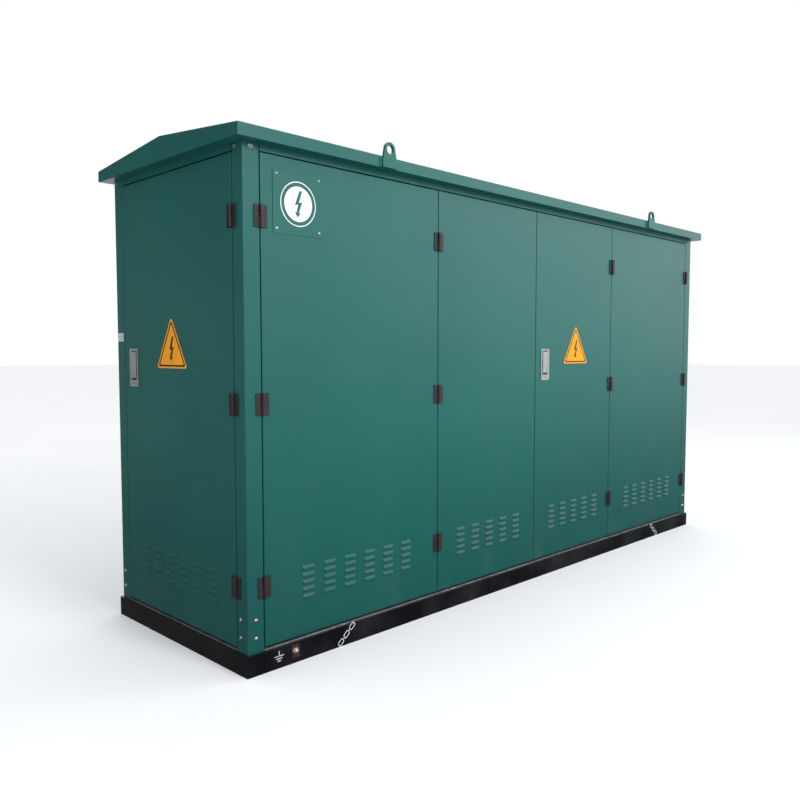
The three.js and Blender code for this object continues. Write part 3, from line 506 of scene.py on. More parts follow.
def pan_mesh(width, height, columns, window=None):
    """The outer surface of a folded pan with pressed louvres and an optional lock window, given as
    (x0, x1, z0, z1). A pan with a lock has a slot for the lock bar in its top flange."""
    bm = bmesh.new()
    found = {}

    def vert(x, z, y=0.0):
        key = (round(x, 6), round(z, 6), round(y, 7))
        if key not in found:
            found[key] = bm.verts.new((x, y, z))
        return found[key]

    r = FOLD_RADIUS
    hoods = []
    for c in range(columns):
        x = (c - (columns - 1) / 2) * LOUVRE_PITCH_X
        for row in range(LOUVRE_ROWS):
            top = LOUVRE_TOP - row * LOUVRE_PITCH_Z
            hoods.append((x - LOUVRE_WIDTH / 2, x + LOUVRE_WIDTH / 2, top - LOUVRE_DROP, top))
    holes = hoods + ([window] if window else [])
    bar = (window[0] + window[1]) / 2 if window else 0.0
    slot = [bar - BAR_SLOT, bar + BAR_SLOT] if window else []
    xs = grid_lines(-width / 2 + r, width / 2 - r, [v for h in holes for v in h[:2]] + slot)
    zs = grid_lines(r, height - r, [v for h in holes for v in h[2:]])
    hood_cells = {(round(h[0], 6), round(h[2], 6)) for h in hoods}

    def is_hood(i, j):
        return 0 <= i < len(xs) - 1 and 0 <= j < len(zs) - 1 and (xs[i], zs[j]) in hood_cells

    def in_window(i, j):
        if not window:
            return False
        x0, x1, z0, z1 = (edge - TINY for edge in window)
        return x0 <= xs[i] < x1 and z0 <= zs[j] < z1

    across = [(1 - math.cos(math.pi * k / LOUVRE_STEPS_X)) / 2 for k in range(LOUVRE_STEPS_X + 1)]
    down = [k / LOUVRE_STEPS_Z for k in range(LOUVRE_STEPS_Z + 1)]

    for i in range(len(xs) - 1):
        for j in range(len(zs) - 1):
            x0, x1, z0, z1 = xs[i], xs[i + 1], zs[j], zs[j + 1]
            if is_hood(i, j):
                grid = [[vert(x0 + u * (x1 - x0), z1 - v * (z1 - z0), -hood_depth(u, v))
                         for u in across] for v in down]
                for a, b in zip(grid, grid[1:]):
                    for k in range(LOUVRE_STEPS_X):
                        bm.faces.new((a[k], b[k], b[k + 1], a[k + 1]))
                continue
            if in_window(i, j):
                continue
            loop = [vert(x0, z0)]
            if is_hood(i, j - 1):
                loop += [vert(x0 + u * (x1 - x0), z0) for u in across[1:-1]]
            loop.append(vert(x1, z0))
            if is_hood(i + 1, j):
                loop += [vert(x1, z1 - v * (z1 - z0)) for v in reversed(down[1:-1])]
            loop.append(vert(x1, z1))
            loop.append(vert(x0, z1))
            if is_hood(i - 1, j):
                loop += [vert(x0, z1 - v * (z1 - z0)) for v in down[1:-1]]
            bm.faces.new(loop)

    outline = [(x, zs[0], 0, -1) for x in xs] + [(xs[-1], z, 1, 0) for z in zs[1:]]
    outline += [(x, zs[-1], 0, 1) for x in reversed(xs[:-1])]
    outline += [(xs[0], z, -1, 0) for z in reversed(zs[1:-1])]
    corner_out = {(x, z): (sx, sz) for x, sx in ((xs[0], -1), (xs[-1], 1))
                  for z, sz in ((zs[0], -1), (zs[-1], 1))}
    rings = [[vert(x, z) for x, z, _, _ in outline]]
    turns = [k / FOLD_STEPS * QUARTER for k in range(1, FOLD_STEPS + 1)]
    steps = [(r * math.sin(a), r * (1 - math.cos(a))) for a in turns] + [(r, PAN_DEPTH)]
    for out, back in steps:
        ring = []
        for x, z, ox, oz in outline:
            ox, oz = corner_out.get((x, z), (ox, oz))
            ring.append(bm.verts.new((x + ox * out, back, z + oz * out)))
        rings.append(ring)
    for a, b in zip(rings, rings[1:]):
        for k in range(len(outline)):
            n = (k + 1) % len(outline)
            middle = (outline[k][0] + outline[n][0]) / 2
            at_top = outline[k][3] == 1 and outline[n][3] == 1
            if window and b is rings[-1] and at_top and slot[0] < middle < slot[1]:
                continue
            bm.faces.new((a[k], b[k], b[n], a[n]))
    face_out(bm, lambda made: max(made.faces, key=lambda f: f.calc_area()).normal.y <= 0)
    return bm


def thicken(piece, thickness):
    piece.modifiers.remove(piece.modifiers["shading"])
    solid = piece.modifiers.new("sheet", "SOLIDIFY")
    solid.thickness = thickness
    solid.offset = -1.0
    solid.use_even_offset = False
    even_shading(piece)
    return piece


def pan(name, body, width, columns, place, replaces, window=None):
    bm = pan_mesh(width, DOOR_HEIGHT, columns, window)
    piece = settle(bm, name, GREEN, body, place, replaces)
    return thicken(piece, 2.0 * MM)


def gasket(name, body, width, place, window=None):
    """A soft bead round the inside of a door, against the frame. It stops short of a lock bar."""
    bm = bmesh.new()
    inset = 9 * MM
    x = width / 2 - inset
    low, high = inset, DOOR_HEIGHT - inset
    loop = rounded_outline([(-x, low), (x, low), (x, high), (-x, high)], 14 * MM, 4)
    if window:
        corner = len(loop) // 4
        bar = (window[0] + window[1]) / 2
        ends = (bar - BAR_SLOT - 3 * MM, high), (bar + BAR_SLOT + 3 * MM, high)
        loop = [ends[0], *loop[3 * corner:], *loop[:3 * corner], ends[1]]
    tube_into(bm, [(a, PAN_DEPTH - 5 * MM, b) for a, b in loop], 5 * MM, 10, closed=not window)
    return settle(bm, name, RUBBER, body, place)


def stiffeners(name, body, places, place):
    """Top-hat channels spot-welded up the inside of a door. places are their X positions."""
    bm = bmesh.new()
    half, rise, foot = 18 * MM, 16 * MM, 14 * MM
    low, high = LOUVRE_TOP + 40 * MM, DOOR_HEIGHT - 60 * MM
    skin = 2.2 * MM
    for x in places:
        section = [(-half - foot, 0), (-half, 0), (-half + 3 * MM, rise), (half - 3 * MM, rise), (half, 0),
                   (half + foot, 0), (half + foot, -1.5 * MM), (-half - foot, -1.5 * MM)]
        lower = [bm.verts.new((x + a, skin + 1.6 * MM + b, low)) for a, b in section]
        upper = [bm.verts.new((x + a, skin + 1.6 * MM + b, high)) for a, b in section]
        bm.faces.new(lower)
        bm.faces.new(list(reversed(upper)))
        prism_sides(bm, lower, upper)
    fix_normals(bm)
    return settle(bm, name, GREEN, body, place)


def doors_and_panels():
    inner_low, inner_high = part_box("front_door_2")
    outer_width = DOOR_HIGH.x - DOOR_LOW.x
    inner_width = inner_high.x - inner_low.x
    end_low, end_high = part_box("end_door")
    end_width = end_high.y - end_low.y
    lock_x = (LOCK_FRONT_LOW.x + LOCK_FRONT_HIGH.x) / 2
    lock_z = (LOCK_FRONT_LOW.z + LOCK_FRONT_HIGH.z) / 2 - DOOR_BOTTOM
    door_3_x = -(inner_low.x + inner_high.x) / 2
    half_wide, half_long = 27.3 * MM, 73.8 * MM
    local = lock_x - door_3_x
    window = (local - half_wide, local + half_wide, lock_z - half_long, lock_z + half_long)
    end_lock = -(LOCK_END_LOW.y + LOCK_END_HIGH.y) / 2
    end_window = (end_lock - half_wide, end_lock + half_wide, lock_z - half_long, lock_z + half_long)
    doors = [
        ("front_door_1", (DOOR_LOW.x + DOOR_HIGH.x) / 2, outer_width, 6, None, (-0.16, 0.16)),
        ("front_door_2", -door_3_x, inner_width, 5, None, (-0.12, 0.14)),
        ("front_door_3", door_3_x, inner_width, 5, window, (-0.14, 0.12)),
        ("front_door_4", -(DOOR_LOW.x + DOOR_HIGH.x) / 2, outer_width, 6, None, (-0.16, 0.16)),
    ]
    for name, x, width, columns, hole, bars in doors:
        place = facing(x, FRONT_Y, DOOR_BOTTOM)
        pan(name + "_pan", name, width, columns, place, [name], hole)
        gasket(name + "_gasket", name, width, place, hole)
        stiffeners(name + "_stiffeners", name, bars, place)
    end_place = facing(-HALF_LENGTH, 0, DOOR_BOTTOM, -QUARTER)
    pan("end_door_pan", "end_door", end_width, 6, end_place, ["end_door"], end_window)
    gasket("end_door_gasket", "end_door", end_width, end_place, end_window)
    stiffeners("end_door_stiffeners", "end_door", (-0.12, 0.16), end_place)
    place = facing(HALF_LENGTH, 0, DOOR_BOTTOM, QUARTER)
    pan("end_panel_pan", "enclosure", end_width, 3, place, ["end_panel"])
    rear_low, rear_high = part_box("rear_panel_left")
    rear_width = rear_high.x - rear_low.x
    for side, name in ((-1, "rear_panel_left"), (1, "rear_panel_right")):
        x = side * abs(rear_low.x + rear_high.x) / 2
        pan(name + "_pan", "enclosure", rear_width, 3, facing(x, HALF_DEPTH, DOOR_BOTTOM, math.pi), [name])


# ------------------------------------------------------------------ posts and roof

def folded_outline(points, thickness, radius, steps=5):
    """The closed outline of a sheet folded along a path whose bends all turn the same way."""
    outer, inner = [], []
    points = [Vector(p) for p in points]
    for i, p in enumerate(points):
        if i in (0, len(points) - 1):
            along = (points[1] - points[0] if i == 0 else points[-1] - points[-2]).normalized()
            neighbour = points[2] - points[1] if i == 0 else points[-3] - points[-2]
            inward = (neighbour - along * neighbour.dot(along)).normalized()
            outer.append(p)
            inner.append(p + inward * thickness)
            continue
        d1 = (p - points[i - 1]).normalized()
        d2 = (points[i + 1] - p).normalized()
        centre = p - d1 * radius + d2 * radius
        for k in range(steps + 1):
            a = QUARTER * k / steps
            spoke = d1 * math.sin(a) - d2 * math.cos(a)
            outer.append(centre + spoke * radius)
            inner.append(centre + spoke * (radius - thickness))
    return outer + list(reversed(inner))


def corner_posts():
    reach_x = POST_HIGH.x - POST_LOW.x
    reach_y = POST_HIGH.y - POST_LOW.y
    lip = 30 * MM
    for name, sx, sy in CORNERS:
        node = "corner_post_" + name
        low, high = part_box(node)
        path = [(reach_x, lip), (reach_x, 0), (0, 0), (0, reach_y), (lip, reach_y)]
        outline = folded_outline(path, 3 * MM, 4.2 * MM)
        bm = bmesh.new()
        levels = [low.z, high.z]
        rings = [[bm.verts.new((sx * (HALF_LENGTH - p.x), sy * (HALF_DEPTH - p.y), z)) for p in outline]
                 for z in levels]
        prism_sides(bm, *rings)
        bm.faces.new(rings[0])
        bm.faces.new(list(reversed(rings[1])))
        fix_normals(bm)
        settle(bm, node + "_folded", GREEN, "enclosure", None, [node])


def roof():
    """The folded roof: two slopes and a fascia all round."""
    bm = bmesh.new()
    x, y = ROOF_HIGH.x, ROOF_HIGH.y
    under = ROOF_LOW.z
    ridge = ROOF_HIGH.z
    eave = ridge - 52 * MM
    side = {}
    for s in (-1, 1):
        gable = ((-y, under), (-y, eave), (0, ridge), (y, eave), (y, under))
        side[s] = [bm.verts.new((s * x, across, z)) for across, z in gable]
    a, b = side[-1], side[1]
    bm.faces.new(a)
    bm.faces.new(list(reversed(b)))
    for k in range(4):
        bm.faces.new((a[k], b[k], b[k + 1], a[k + 1]))
    face_out(bm, lambda made: next(f for f in made.faces if abs(f.normal.z) > 0.5).normal.z >= 0)
    folds = [e for e in bm.edges if len(e.link_faces) == 2]
    bmesh.ops.bevel(bm, geom=folds, offset=3 * MM, segments=4, profile=0.5, affect="EDGES")
    piece = settle(bm, "roof_cover_folded", GREEN, "enclosure", None, ["roof_cover"])
    thicken(piece, 2.6 * MM)


def weld_bead(bm, start, end, radius, seed):
    """A lumpy weld bead between two points."""
    rng = random.Random(seed)
    start, end = Vector(start), Vector(end)
    count = max(6, int((end - start).length / (2.2 * MM)))
    lump = 0.3 * MM
    points = [start.lerp(end, i / count)
              + Vector((rng.uniform(-1, 1), rng.uniform(-1, 1), rng.uniform(-1, 1))) * lump
              for i in range(count + 1)]
    tube_into(bm, points, radius, 8)


EYE_SIDES = 32


def lifting_lugs():
    for k, (name, _, sy) in enumerate(CORNERS):
        node = "lifting_lug_" + name
        low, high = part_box(node)
        centre_x = (low.x + high.x) / 2
        half = (high.x - low.x) / 2
        top_radius, hole = 30 * MM, 18 * MM
        height = high.z - low.z
        eye = height - top_radius
        bm = bmesh.new()
        outer = []
        arc = 18
        for i in range(arc + 1):
            a = math.pi * i / arc
            outer.append((top_radius * math.cos(a), eye + top_radius * math.sin(a)))
        outer += [(-half, 23 * MM), (-half, 0), (half, 0), (half, 23 * MM)]
        thick = high.y - low.y
        turns = [2 * math.pi * i / EYE_SIDES for i in range(EYE_SIDES)]
        ring = [(hole * math.cos(a), eye + hole * math.sin(a)) for a in turns]
        made = []
        for y in (0.0, thick):
            verts = [bm.verts.new((px, y, pz)) for px, pz in outer]
            eye_verts = [bm.verts.new((px, y, pz)) for px, pz in ring]
            edges = [bm.edges.new((verts[i], verts[(i + 1) % len(verts)])) for i in range(len(verts))]
            edges += [bm.edges.new((eye_verts[i], eye_verts[(i + 1) % EYE_SIDES])) for i in range(EYE_SIDES)]
            bmesh.ops.triangle_fill(bm, edges=edges, use_beauty=True)
            made.append((verts, eye_verts))
        for front, back in zip(*made):
            prism_sides(bm, front, back)
        fix_normals(bm)
        rims = [e for e in bm.edges if len(e.link_faces) == 2 and e.calc_face_angle() > 1.0
                and abs(e.verts[0].co.y - e.verts[1].co.y) < 1e-6]
        bmesh.ops.bevel(bm, geom=rims, offset=1.2 * MM, segments=2, profile=0.5, affect="EDGES")
        turn = 0.0 if sy < 0 else math.pi
        face_y = low.y if sy < 0 else high.y
        place = facing(centre_x, face_y, low.z, turn)
        settle(bm, node + "_plate", GREEN, "enclosure", place, [node])
        beads = bmesh.new()
        for x, seed in ((-half, 10 + k), (half, 20 + k)):
            weld_bead(beads, (x, thick, 2 * MM), (x, thick, 44 * MM), 2.6 * MM, seed)
        settle(beads, node + "_welds", GREEN, "enclosure", place)


# ------------------------------------------------------------------ fasteners

def dome_screw(bm, at, axis, radius=8.5 * MM):
    """A domed screw head on a thin washer, with a cross recess."""
    h = radius * 0.55
    seat = 1.1 * MM
    profile = [(radius * 1.22, 0), (radius * 1.22, 0.9 * MM), (radius, seat)]
    for k in range(1, 6):
        a = QUARTER * k / 6
        profile.append((radius * math.cos(a), seat + h * math.sin(a)))
    recess = seat + h * 0.55
    profile += [(radius * 0.22, seat + h * 0.99), (radius * 0.16, recess), (0, recess)]
    lathe_into(bm, profile, at, axis, 20)


def hex_bolt(bm, at, axis, across=8 * MM, height=6 * MM):
    """A hexagon head on a washer."""
    washer, top = 1.8 * MM, height + 1 * MM
    rim = across * 1.35
    lathe_into(bm, [(rim, 0), (rim, 1.5 * MM), (across * 1.2, washer), (0, washer)], at, axis, 24)
    lathe_into(bm, [(across, 1.6 * MM), (across, height), (across * 0.86, top), (0, top)], at, axis, 6)


def post_screws():
    bm = bmesh.new()
    levels = [138 * MM, 206 * MM, POST_HIGH.z - 11 * MM]
    for sx in (-1, 1):
        for sy in (-1, 1):
            side = 47 * MM if sy < 0 else 26 * MM
            for z in levels:
                dome_screw(bm, (sx * (HALF_LENGTH - 36 * MM), sy * HALF_DEPTH, z), (0, sy, 0))
                dome_screw(bm, (sx * HALF_LENGTH, sy * (HALF_DEPTH - side), z), (sx, 0, 0))
    settle(bm, "post_screws", ZINC, "enclosure")
    bolts = bmesh.new()
    rear_low, rear_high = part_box("rear_panel_left")
    margin = 22 * MM
    rows = 5
    for sx in (-1, 1):
        for x in (margin, abs(rear_low.x + rear_high.x) / 2, -rear_low.x - margin):
            for z in (DOOR_BOTTOM + margin, DOOR_TOP - margin):
                hex_bolt(bolts, (sx * x, HALF_DEPTH, z), TO_REAR, 6.5 * MM, 5 * MM)
        for k in range(1, rows):
            z = DOOR_BOTTOM + margin + (DOOR_HEIGHT - 2 * margin) * k / rows
            for x in (margin, -rear_low.x - margin):
                hex_bolt(bolts, (sx * x, HALF_DEPTH, z), TO_REAR, 6.5 * MM, 5 * MM)
    end_low, end_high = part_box("end_panel")
    for k in range(rows + 1):
        z = DOOR_BOTTOM + margin + (DOOR_HEIGHT - 2 * margin) * k / rows
        for y in (end_low.y + margin, end_high.y - margin):
            hex_bolt(bolts, (HALF_LENGTH, y, z), (1, 0, 0), 6.5 * MM, 5 * MM)
    settle(bolts, "panel_bolts", ZINC, "enclosure")


# ------------------------------------------------------------------ hinges

def hinge_levels():
    bottom, top = DOOR_BOTTOM + HINGE_INSET, DOOR_TOP - HINGE_INSET
    return [bottom, (bottom + top) / 2, top]


def hinge_set(name, body, side, holds_pin, place, replaces, wall):
    """Three leaves on one side of a seam. side is -1 or 1; the pin side carries the lower knuckles."""
    bm = bmesh.new()
    half = HINGE_HEIGHT / 2
    near = KNUCKLE_RADIUS + 0.8 * MM
    front, back = -4.3 * MM, -0.3 * MM
    for z in hinge_levels():
        low = z - half if holds_pin else z + 0.4 * MM
        high = low + half - 0.4 * MM
        x0, x1 = sorted((side * near, side * HINGE_REACH))
        box_into(bm, (x0, front, z - half), (x1, back, z + half), 1.2 * MM, 3)
        x0, x1 = sorted((side * 1 * MM, side * (near + 2 * MM)))
        box_into(bm, (x0, front - 1.5 * MM, low + 0.6 * MM), (x1, back - 1 * MM, high - 0.6 * MM),
                 0.5 * MM, 2)
        lip = 1.0 * MM
        knuckle = [(KNUCKLE_RADIUS - lip, low), (KNUCKLE_RADIUS, low + lip), (KNUCKLE_RADIUS, high - lip),
                   (KNUCKLE_RADIUS - lip, high)]
        lathe_into(bm, knuckle, (0, -HINGE_AXIS_OUT, 0), UP, 20)
        for level in (z - half * 0.55, z + half * 0.55):
            x = side * (near + HINGE_REACH) / 2
            lathe_into(bm, mm((3.6, 0), (3.6, 0.5), (2.6, 1.2), (0, 1.3)),
                       (x, front, level), TO_FRONT, 14)
        pin = (low - 1.2 * MM, z - 2 * MM) if holds_pin else (z + 2 * MM, high + 1.2 * MM)
        lathe_into(bm, [(4.2 * MM, pin[0]), (4.2 * MM, pin[1])], (0, -HINGE_AXIS_OUT, 0), UP, 16)
    strip = (near + HINGE_REACH) / 2
    x0, x1 = sorted((side * (strip - 9 * MM), side * (strip + 9 * MM)))
    lowest, _, highest = hinge_levels()
    box_into(bm, (x0, wall + 0.3 * MM, lowest - half), (x1, wall + 3.3 * MM, highest + half), 0.6 * MM, 2)
    return settle(bm, name, HINGE, body, place, replaces)


def hinges():
    outer_seam = -DOOR_LOW.x + DOOR_GAP / 2
    inner_seam = -DOOR_HIGH.x - DOOR_GAP / 2
    end_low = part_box("end_door")[0]
    end_place = facing(-HALF_LENGTH, end_low.y - DOOR_GAP / 2, 0, -QUARTER)
    post = 3 * MM
    lines = [
        ("door_1", facing(-outer_seam, FRONT_Y, 0), -1, "enclosure", "front_door_1", post),
        ("door_2", facing(-inner_seam, FRONT_Y, 0), -1, "front_door_1", "front_door_2", SHEET),
        ("door_3", facing(inner_seam, FRONT_Y, 0), 1, "front_door_4", "front_door_3", SHEET),
        ("door_4", facing(outer_seam, FRONT_Y, 0), 1, "enclosure", "front_door_4", post),
        ("end", end_place, 1, "enclosure", "end_door", post),
    ]
    for name, place, side, fixed, moving, wall in lines:
        node = "hinges_end_door" if name == "end" else "hinges_" + name
        piece = "hinge_leaves_" + name
        hinge_set(piece + "_fixed", fixed, side, True, place, [node + "_fixed"], wall)
        hinge_set(piece + "_moving", moving, -side, False, place, [node + "_moving"], SHEET)


# ------------------------------------------------------------------ locks

LOCK_INNER_X, LOCK_INNER_Z = 24.5 * MM, 71 * MM
KEY_TOP = -LOCK_INNER_Z + 17 * MM
KEY_Z = -LOCK_INNER_Z + 8.5 * MM
PADDLE_HALF = LOCK_INNER_X - 1.8 * MM


def lock_case(end, door, place):
    """The housing, with a raised rim round its recess and a block round the key."""
    wide, long = 36 * MM, 81.5 * MM
    box_x, box_z, deep = 27 * MM, 73.5 * MM, 18 * MM
    bm = bmesh.new()
    outer = rounded_box(wide, long, 5 * MM, 5)
    inner = rounded_box(LOCK_INNER_X, LOCK_INNER_Z, 3 * MM, 5)
    slope = 4 * MM
    rings = []
    for outline, grow, y in ((outer, 0, -0.3 * MM), (outer, 0, -2.2 * MM), (outer, -1.2 * MM, -3.3 * MM),
                             (inner, slope, -3.3 * MM), (inner, 1.4 * MM, -2.6 * MM), (inner, 0, -1.4 * MM),
                             (inner, 0, deep - 2.5 * MM)):
        ring = []
        for px, pz in outline:
            ring.append(bm.verts.new((px + math.copysign(grow, px), y, pz + math.copysign(grow, pz))))
        rings.append(ring)
    for a, b in zip(rings, rings[1:]):
        for k in range(len(a)):
            n = (k + 1) % len(a)
            bm.faces.new((a[k], a[n], b[n], b[k]))
    bm.faces.new(rings[-1])
    back = [bm.verts.new((px, -0.3 * MM, pz)) for px, pz in rounded_box(box_x, box_z, 4 * MM, 5)]
    rear = [bm.verts.new((v.co.x, deep, v.co.z)) for v in back]
    for k in range(len(back)):
        n = (k + 1) % len(back)
        bm.faces.new((rings[0][n], rings[0][k], back[k], back[n]))
        bm.faces.new((back[n], back[k], rear[k], rear[n]))
    bm.faces.new(rear)
    slack = 0.4 * MM
    block_x = LOCK_INNER_X - slack
    box_into(bm, (-block_x, -2.6 * MM, -LOCK_INNER_Z + slack), (block_x, deep - 3 * MM, KEY_TOP), 1.0 * MM, 2)
    fix_normals(bm)
    settle(bm, "lock_case_" + end, NICKEL, door, place, ["lock_housing_" + end])


def lock_paddle(end, place):
    """The dished paddle. Its low rows have flat middles, which read as ribs."""
    paddle = bmesh.new()
    low, high = KEY_TOP + 9 * MM, LOCK_INNER_Z - 4 * MM
    front = -5.3 * MM
    rows = [low, low + 3 * MM, low + 7 * MM, low + 30 * MM,
            (low + high) / 2, high - 24 * MM, high - 4 * MM, high]
    dip = [0.8, 0.0, 0.2, 1.1, 1.5, 1.1, 0.1, 1.0]
    cols = [-1, -0.94, -0.8, -0.4, 0, 0.4, 0.8, 0.94, 1]
    dish = [1.0, 0.1, 0.0, 0.6, 0.8, 0.6, 0.0, 0.1, 1.0]
    last = len(cols) - 1
    lines = []
    for row, d in zip(rows, dip):
        is_rib = d < 0.5 and row != low
        line = []
        for i, (c, w) in enumerate(zip(cols, dish)):
            sunk = d * w if 0 < i < last else max(d, w)
            if is_rib and 1 < i < last - 1:
                sunk = 0.0
            line.append(paddle.verts.new((PADDLE_HALF * c, front + sunk * 1.1 * MM, row)))
        lines.append(line)
    for a, b in zip(lines, lines[1:]):
        for k in range(len(cols) - 1):
            paddle.faces.new((a[k], a[k + 1], b[k + 1], b[k]))
    face_out(paddle, lambda made: sum(f.normal.y for f in made.faces) <= 0)
    plate = settle(paddle, "lock_lever_" + end, NICKEL, "lock_paddle_" + end, place,
                   ["lock_paddle_" + end])
    thicken(plate, 2.6 * MM)


def lock_axle(end, place):
    """The paddle's axle and its two cheeks."""
    axle = bmesh.new()
    level = LOCK_INNER_Z - 13 * MM
    profile = mm((2.2, -24.5), (2.5, -24.1), (2.5, 24.1), (2.2, 24.5))
    lathe_into(axle, profile, (0, 3 * MM, level), (1, 0, 0), 16)
    for s in (-1, 1):
        box_into(axle, (s * PADDLE_HALF - 2 * MM * (s > 0), -3 * MM, level - 5 * MM),
                 (s * PADDLE_HALF + 2 * MM * (s < 0), 6 * MM, level + 4 * MM), 0.5 * MM, 2)
    settle(axle, "lock_lever_axle_" + end, NICKEL, "lock_paddle_" + end, place)


def lock_barrel(end, place):
    """The key cylinder, its slot and the arm behind it."""
    key = bmesh.new()
    radius = 7 * MM
    profile = mm((7, 28), (7, -3.4), (6.2, -4.3), (4.8, -4.3), (4.4, -3.9), (0, -3.9))
    lathe_into(key, profile, (0, 0, KEY_Z), TO_REAR, 28)
    box_into(key, (-0.9 * MM, -4.35 * MM, KEY_Z - 4 * MM), (0.9 * MM, -3.8 * MM, KEY_Z + 4 * MM))
    box_into(key, (-radius, 24 * MM, KEY_Z - radius), (24 * MM, 28 * MM, KEY_Z + radius), 1.5 * MM, 3)
    settle(key, "lock_barrel_" + end, ZINC, "lock_cylinder_" + end, place,
           ["lock_cylinder_" + end])


def lock_bar(end, door, place):
    """The sliding bar up the inside of a door, and its guides."""
    rod_low, rod_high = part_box("lock_rod_" + end)
    rod = bmesh.new()
    level = place.translation.z
    box_into(rod, (-10 * MM, 19 * MM, rod_low.z - level), (10 * MM, 23 * MM, rod_high.z - level), 1.0 * MM, 3)
    settle(rod, "lock_bar_" + end, GALVANISED, "lock_rod_" + end, place, ["lock_rod_" + end])
    guides = bmesh.new()
    guide_low = DOOR_TOP - 163 * MM - level
    for z in (163 * MM, guide_low):
        for s in (-1, 1):
            x0, x1 = s * 13 * MM - 2.5 * MM, s * 13 * MM + 2.5 * MM
            box_into(guides, (x0, 2 * MM, z), (x1, 28 * MM, z + 20 * MM), 1 * MM, 2)
        box_into(guides, (-15.5 * MM, 23.4 * MM, z), (15.5 * MM, 28 * MM, z + 20 * MM), 1 * MM, 2)
    settle(guides, "lock_guides_" + end, GALVANISED, door, place)


def locks():
    level = (LOCK_FRONT_LOW.z + LOCK_FRONT_HIGH.z) / 2
    front_x = (LOCK_FRONT_LOW.x + LOCK_FRONT_HIGH.x) / 2
    end_y = (LOCK_END_LOW.y + LOCK_END_HIGH.y) / 2
    for end, door, place in (("front", "front_door_3", facing(front_x, FRONT_Y, level)),
                             ("end", "end_door", facing(-HALF_LENGTH, end_y, level, -QUARTER))):
        lock_case(end, door, place)
        lock_paddle(end, place)
        lock_axle(end, place)
        lock_barrel(end, place)
        lock_bar(end, door, place)


# ------------------------------------------------------------------ plates, signs and painted marks

BOLT_SHAPE = [(0.10, 1.0), (-0.34, -0.10), (-0.02, -0.02), (-0.18, -0.62), (-0.34, -0.56), (-0.10, -1.0),
              (0.20, -0.68), (0.04, -0.64), (0.36, 0.18), (0.04, 0.10), (0.34, 1.0)]


def bolt_mark(bm, x, z, size, y_front, y_back):
    plate_into(bm, [(x + a * size, z + b * size) for a, b in BOLT_SHAPE], y_front, y_back)


def thin_piece(name, material, body, place, build, replaces=()):
    """A piece on a door's face, made by a function that fills its bmesh."""
    bm = bmesh.new()
    build(bm)
    fix_normals(bm)
    return settle(bm, name, material, body, place, replaces)


def band_into(bm, outer, inner, y_front, y_back):
    """Adds a closed flat band between two outlines in X and Z that have as many points."""
    corners = ((outer, y_back), (outer, y_front), (inner, y_front), (inner, y_back))
    loops = [[bm.verts.new((x, y, z)) for x, z in outline] for outline, y in corners]
    for k, loop in enumerate(loops):
        prism_sides(bm, loop, loops[(k + 1) % len(loops)])


def ring_into(bm, outer, inner, y_front, y_back, sides=64, centre=(0, 0), tilt=0.0, square=1.0):
    """A flat ring, as a closed band. square below 1 pulls it towards a rounded rectangle."""
    def outline(radius):
        points = []
        for i in range(sides):
            a = 2 * math.pi * i / sides
            px = radius[0] * math.copysign(abs(math.cos(a)) ** square, math.cos(a))
            pz = radius[1] * math.copysign(abs(math.sin(a)) ** square, math.sin(a))
            points.append((centre[0] + px * math.cos(tilt) - pz * math.sin(tilt),
                           centre[1] + px * math.sin(tilt) + pz * math.cos(tilt)))
        return points

    band_into(bm, outline(outer), outline(inner), y_front, y_back)


def emblem_plate():
    """The square plate and its plain round emblem: a white disc, a thin ring and a simple bolt."""
    x = (PLATE_LOW.x + PLATE_HIGH.x) / 2
    z = (PLATE_LOW.z + PLATE_HIGH.z) / 2
    half = (PLATE_HIGH.x - PLATE_LOW.x) / 2
    place = facing(x, FRONT_Y, z)
    face = -1.9 * MM

    def plate(bm):
        plate_into(bm, rounded_box(half, half, 6 * MM, 6), face, -0.3 * MM)

    def disc(bm):
        lathe_into(bm, mm((66, 0), (66, 0.5), (65.4, 0.8), (0, 0.8)), (0, face, 0), TO_FRONT, 72)

    def ring(bm):
        ring_into(bm, (84 * MM, 84 * MM), (80 * MM, 80 * MM), face - 0.5 * MM, face, 96)

    def mark(bm):
        bolt_mark(bm, 0, 0, 50 * MM, face - 1.1 * MM, face - 0.4 * MM)

    thin_piece("emblem_backplate", PLATE_GREEN, "front_door_1", place, plate, ["nameplate"])
    thin_piece("emblem_disc", WHITE, "front_door_1", place, disc)
    thin_piece("emblem_ring", WHITE, "front_door_1", place, ring)
    thin_piece("emblem_bolt", PLATE_GREEN, "front_door_1", place, mark)
    screws = bmesh.new()
    reach = 100 * MM
    for sx in (-1, 1):
        for sz in (-1, 1):
            dome_screw(screws, (sx * reach, face, sz * reach), TO_FRONT, 4.6 * MM)
    settle(screws, "emblem_screws", ZINC, "front_door_1", place)


def hazard_sign(name, body, place):
    """A plain triangle with a bolt and no words."""
    wide, high = 121.5 * MM, 209 * MM

    def triangle(scale, radius):
        centre = high / 3
        points = [(-wide * scale, centre - centre * scale), (wide * scale, centre - centre * scale),
                  (0, centre + (high - centre) * scale)]
        return rounded_outline(points, radius, 6)

    def film(bm):
        plate_into(bm, triangle(1.0, 9 * MM), -0.6 * MM, -0.1 * MM)

    def border(bm):
        band_into(bm, triangle(0.90, 7 * MM), triangle(0.80, 5 * MM), -0.85 * MM, -0.5 * MM)

    def mark(bm):
        bolt_mark(bm, 0, high * 0.38, 50 * MM, -0.9 * MM, -0.5 * MM)

    thin_piece(name + "_film", AMBER, body, place, film)
    thin_piece(name + "_border", SIGN_BLACK, body, place, border)
    thin_piece(name + "_bolt", SIGN_BLACK, body, place, mark)


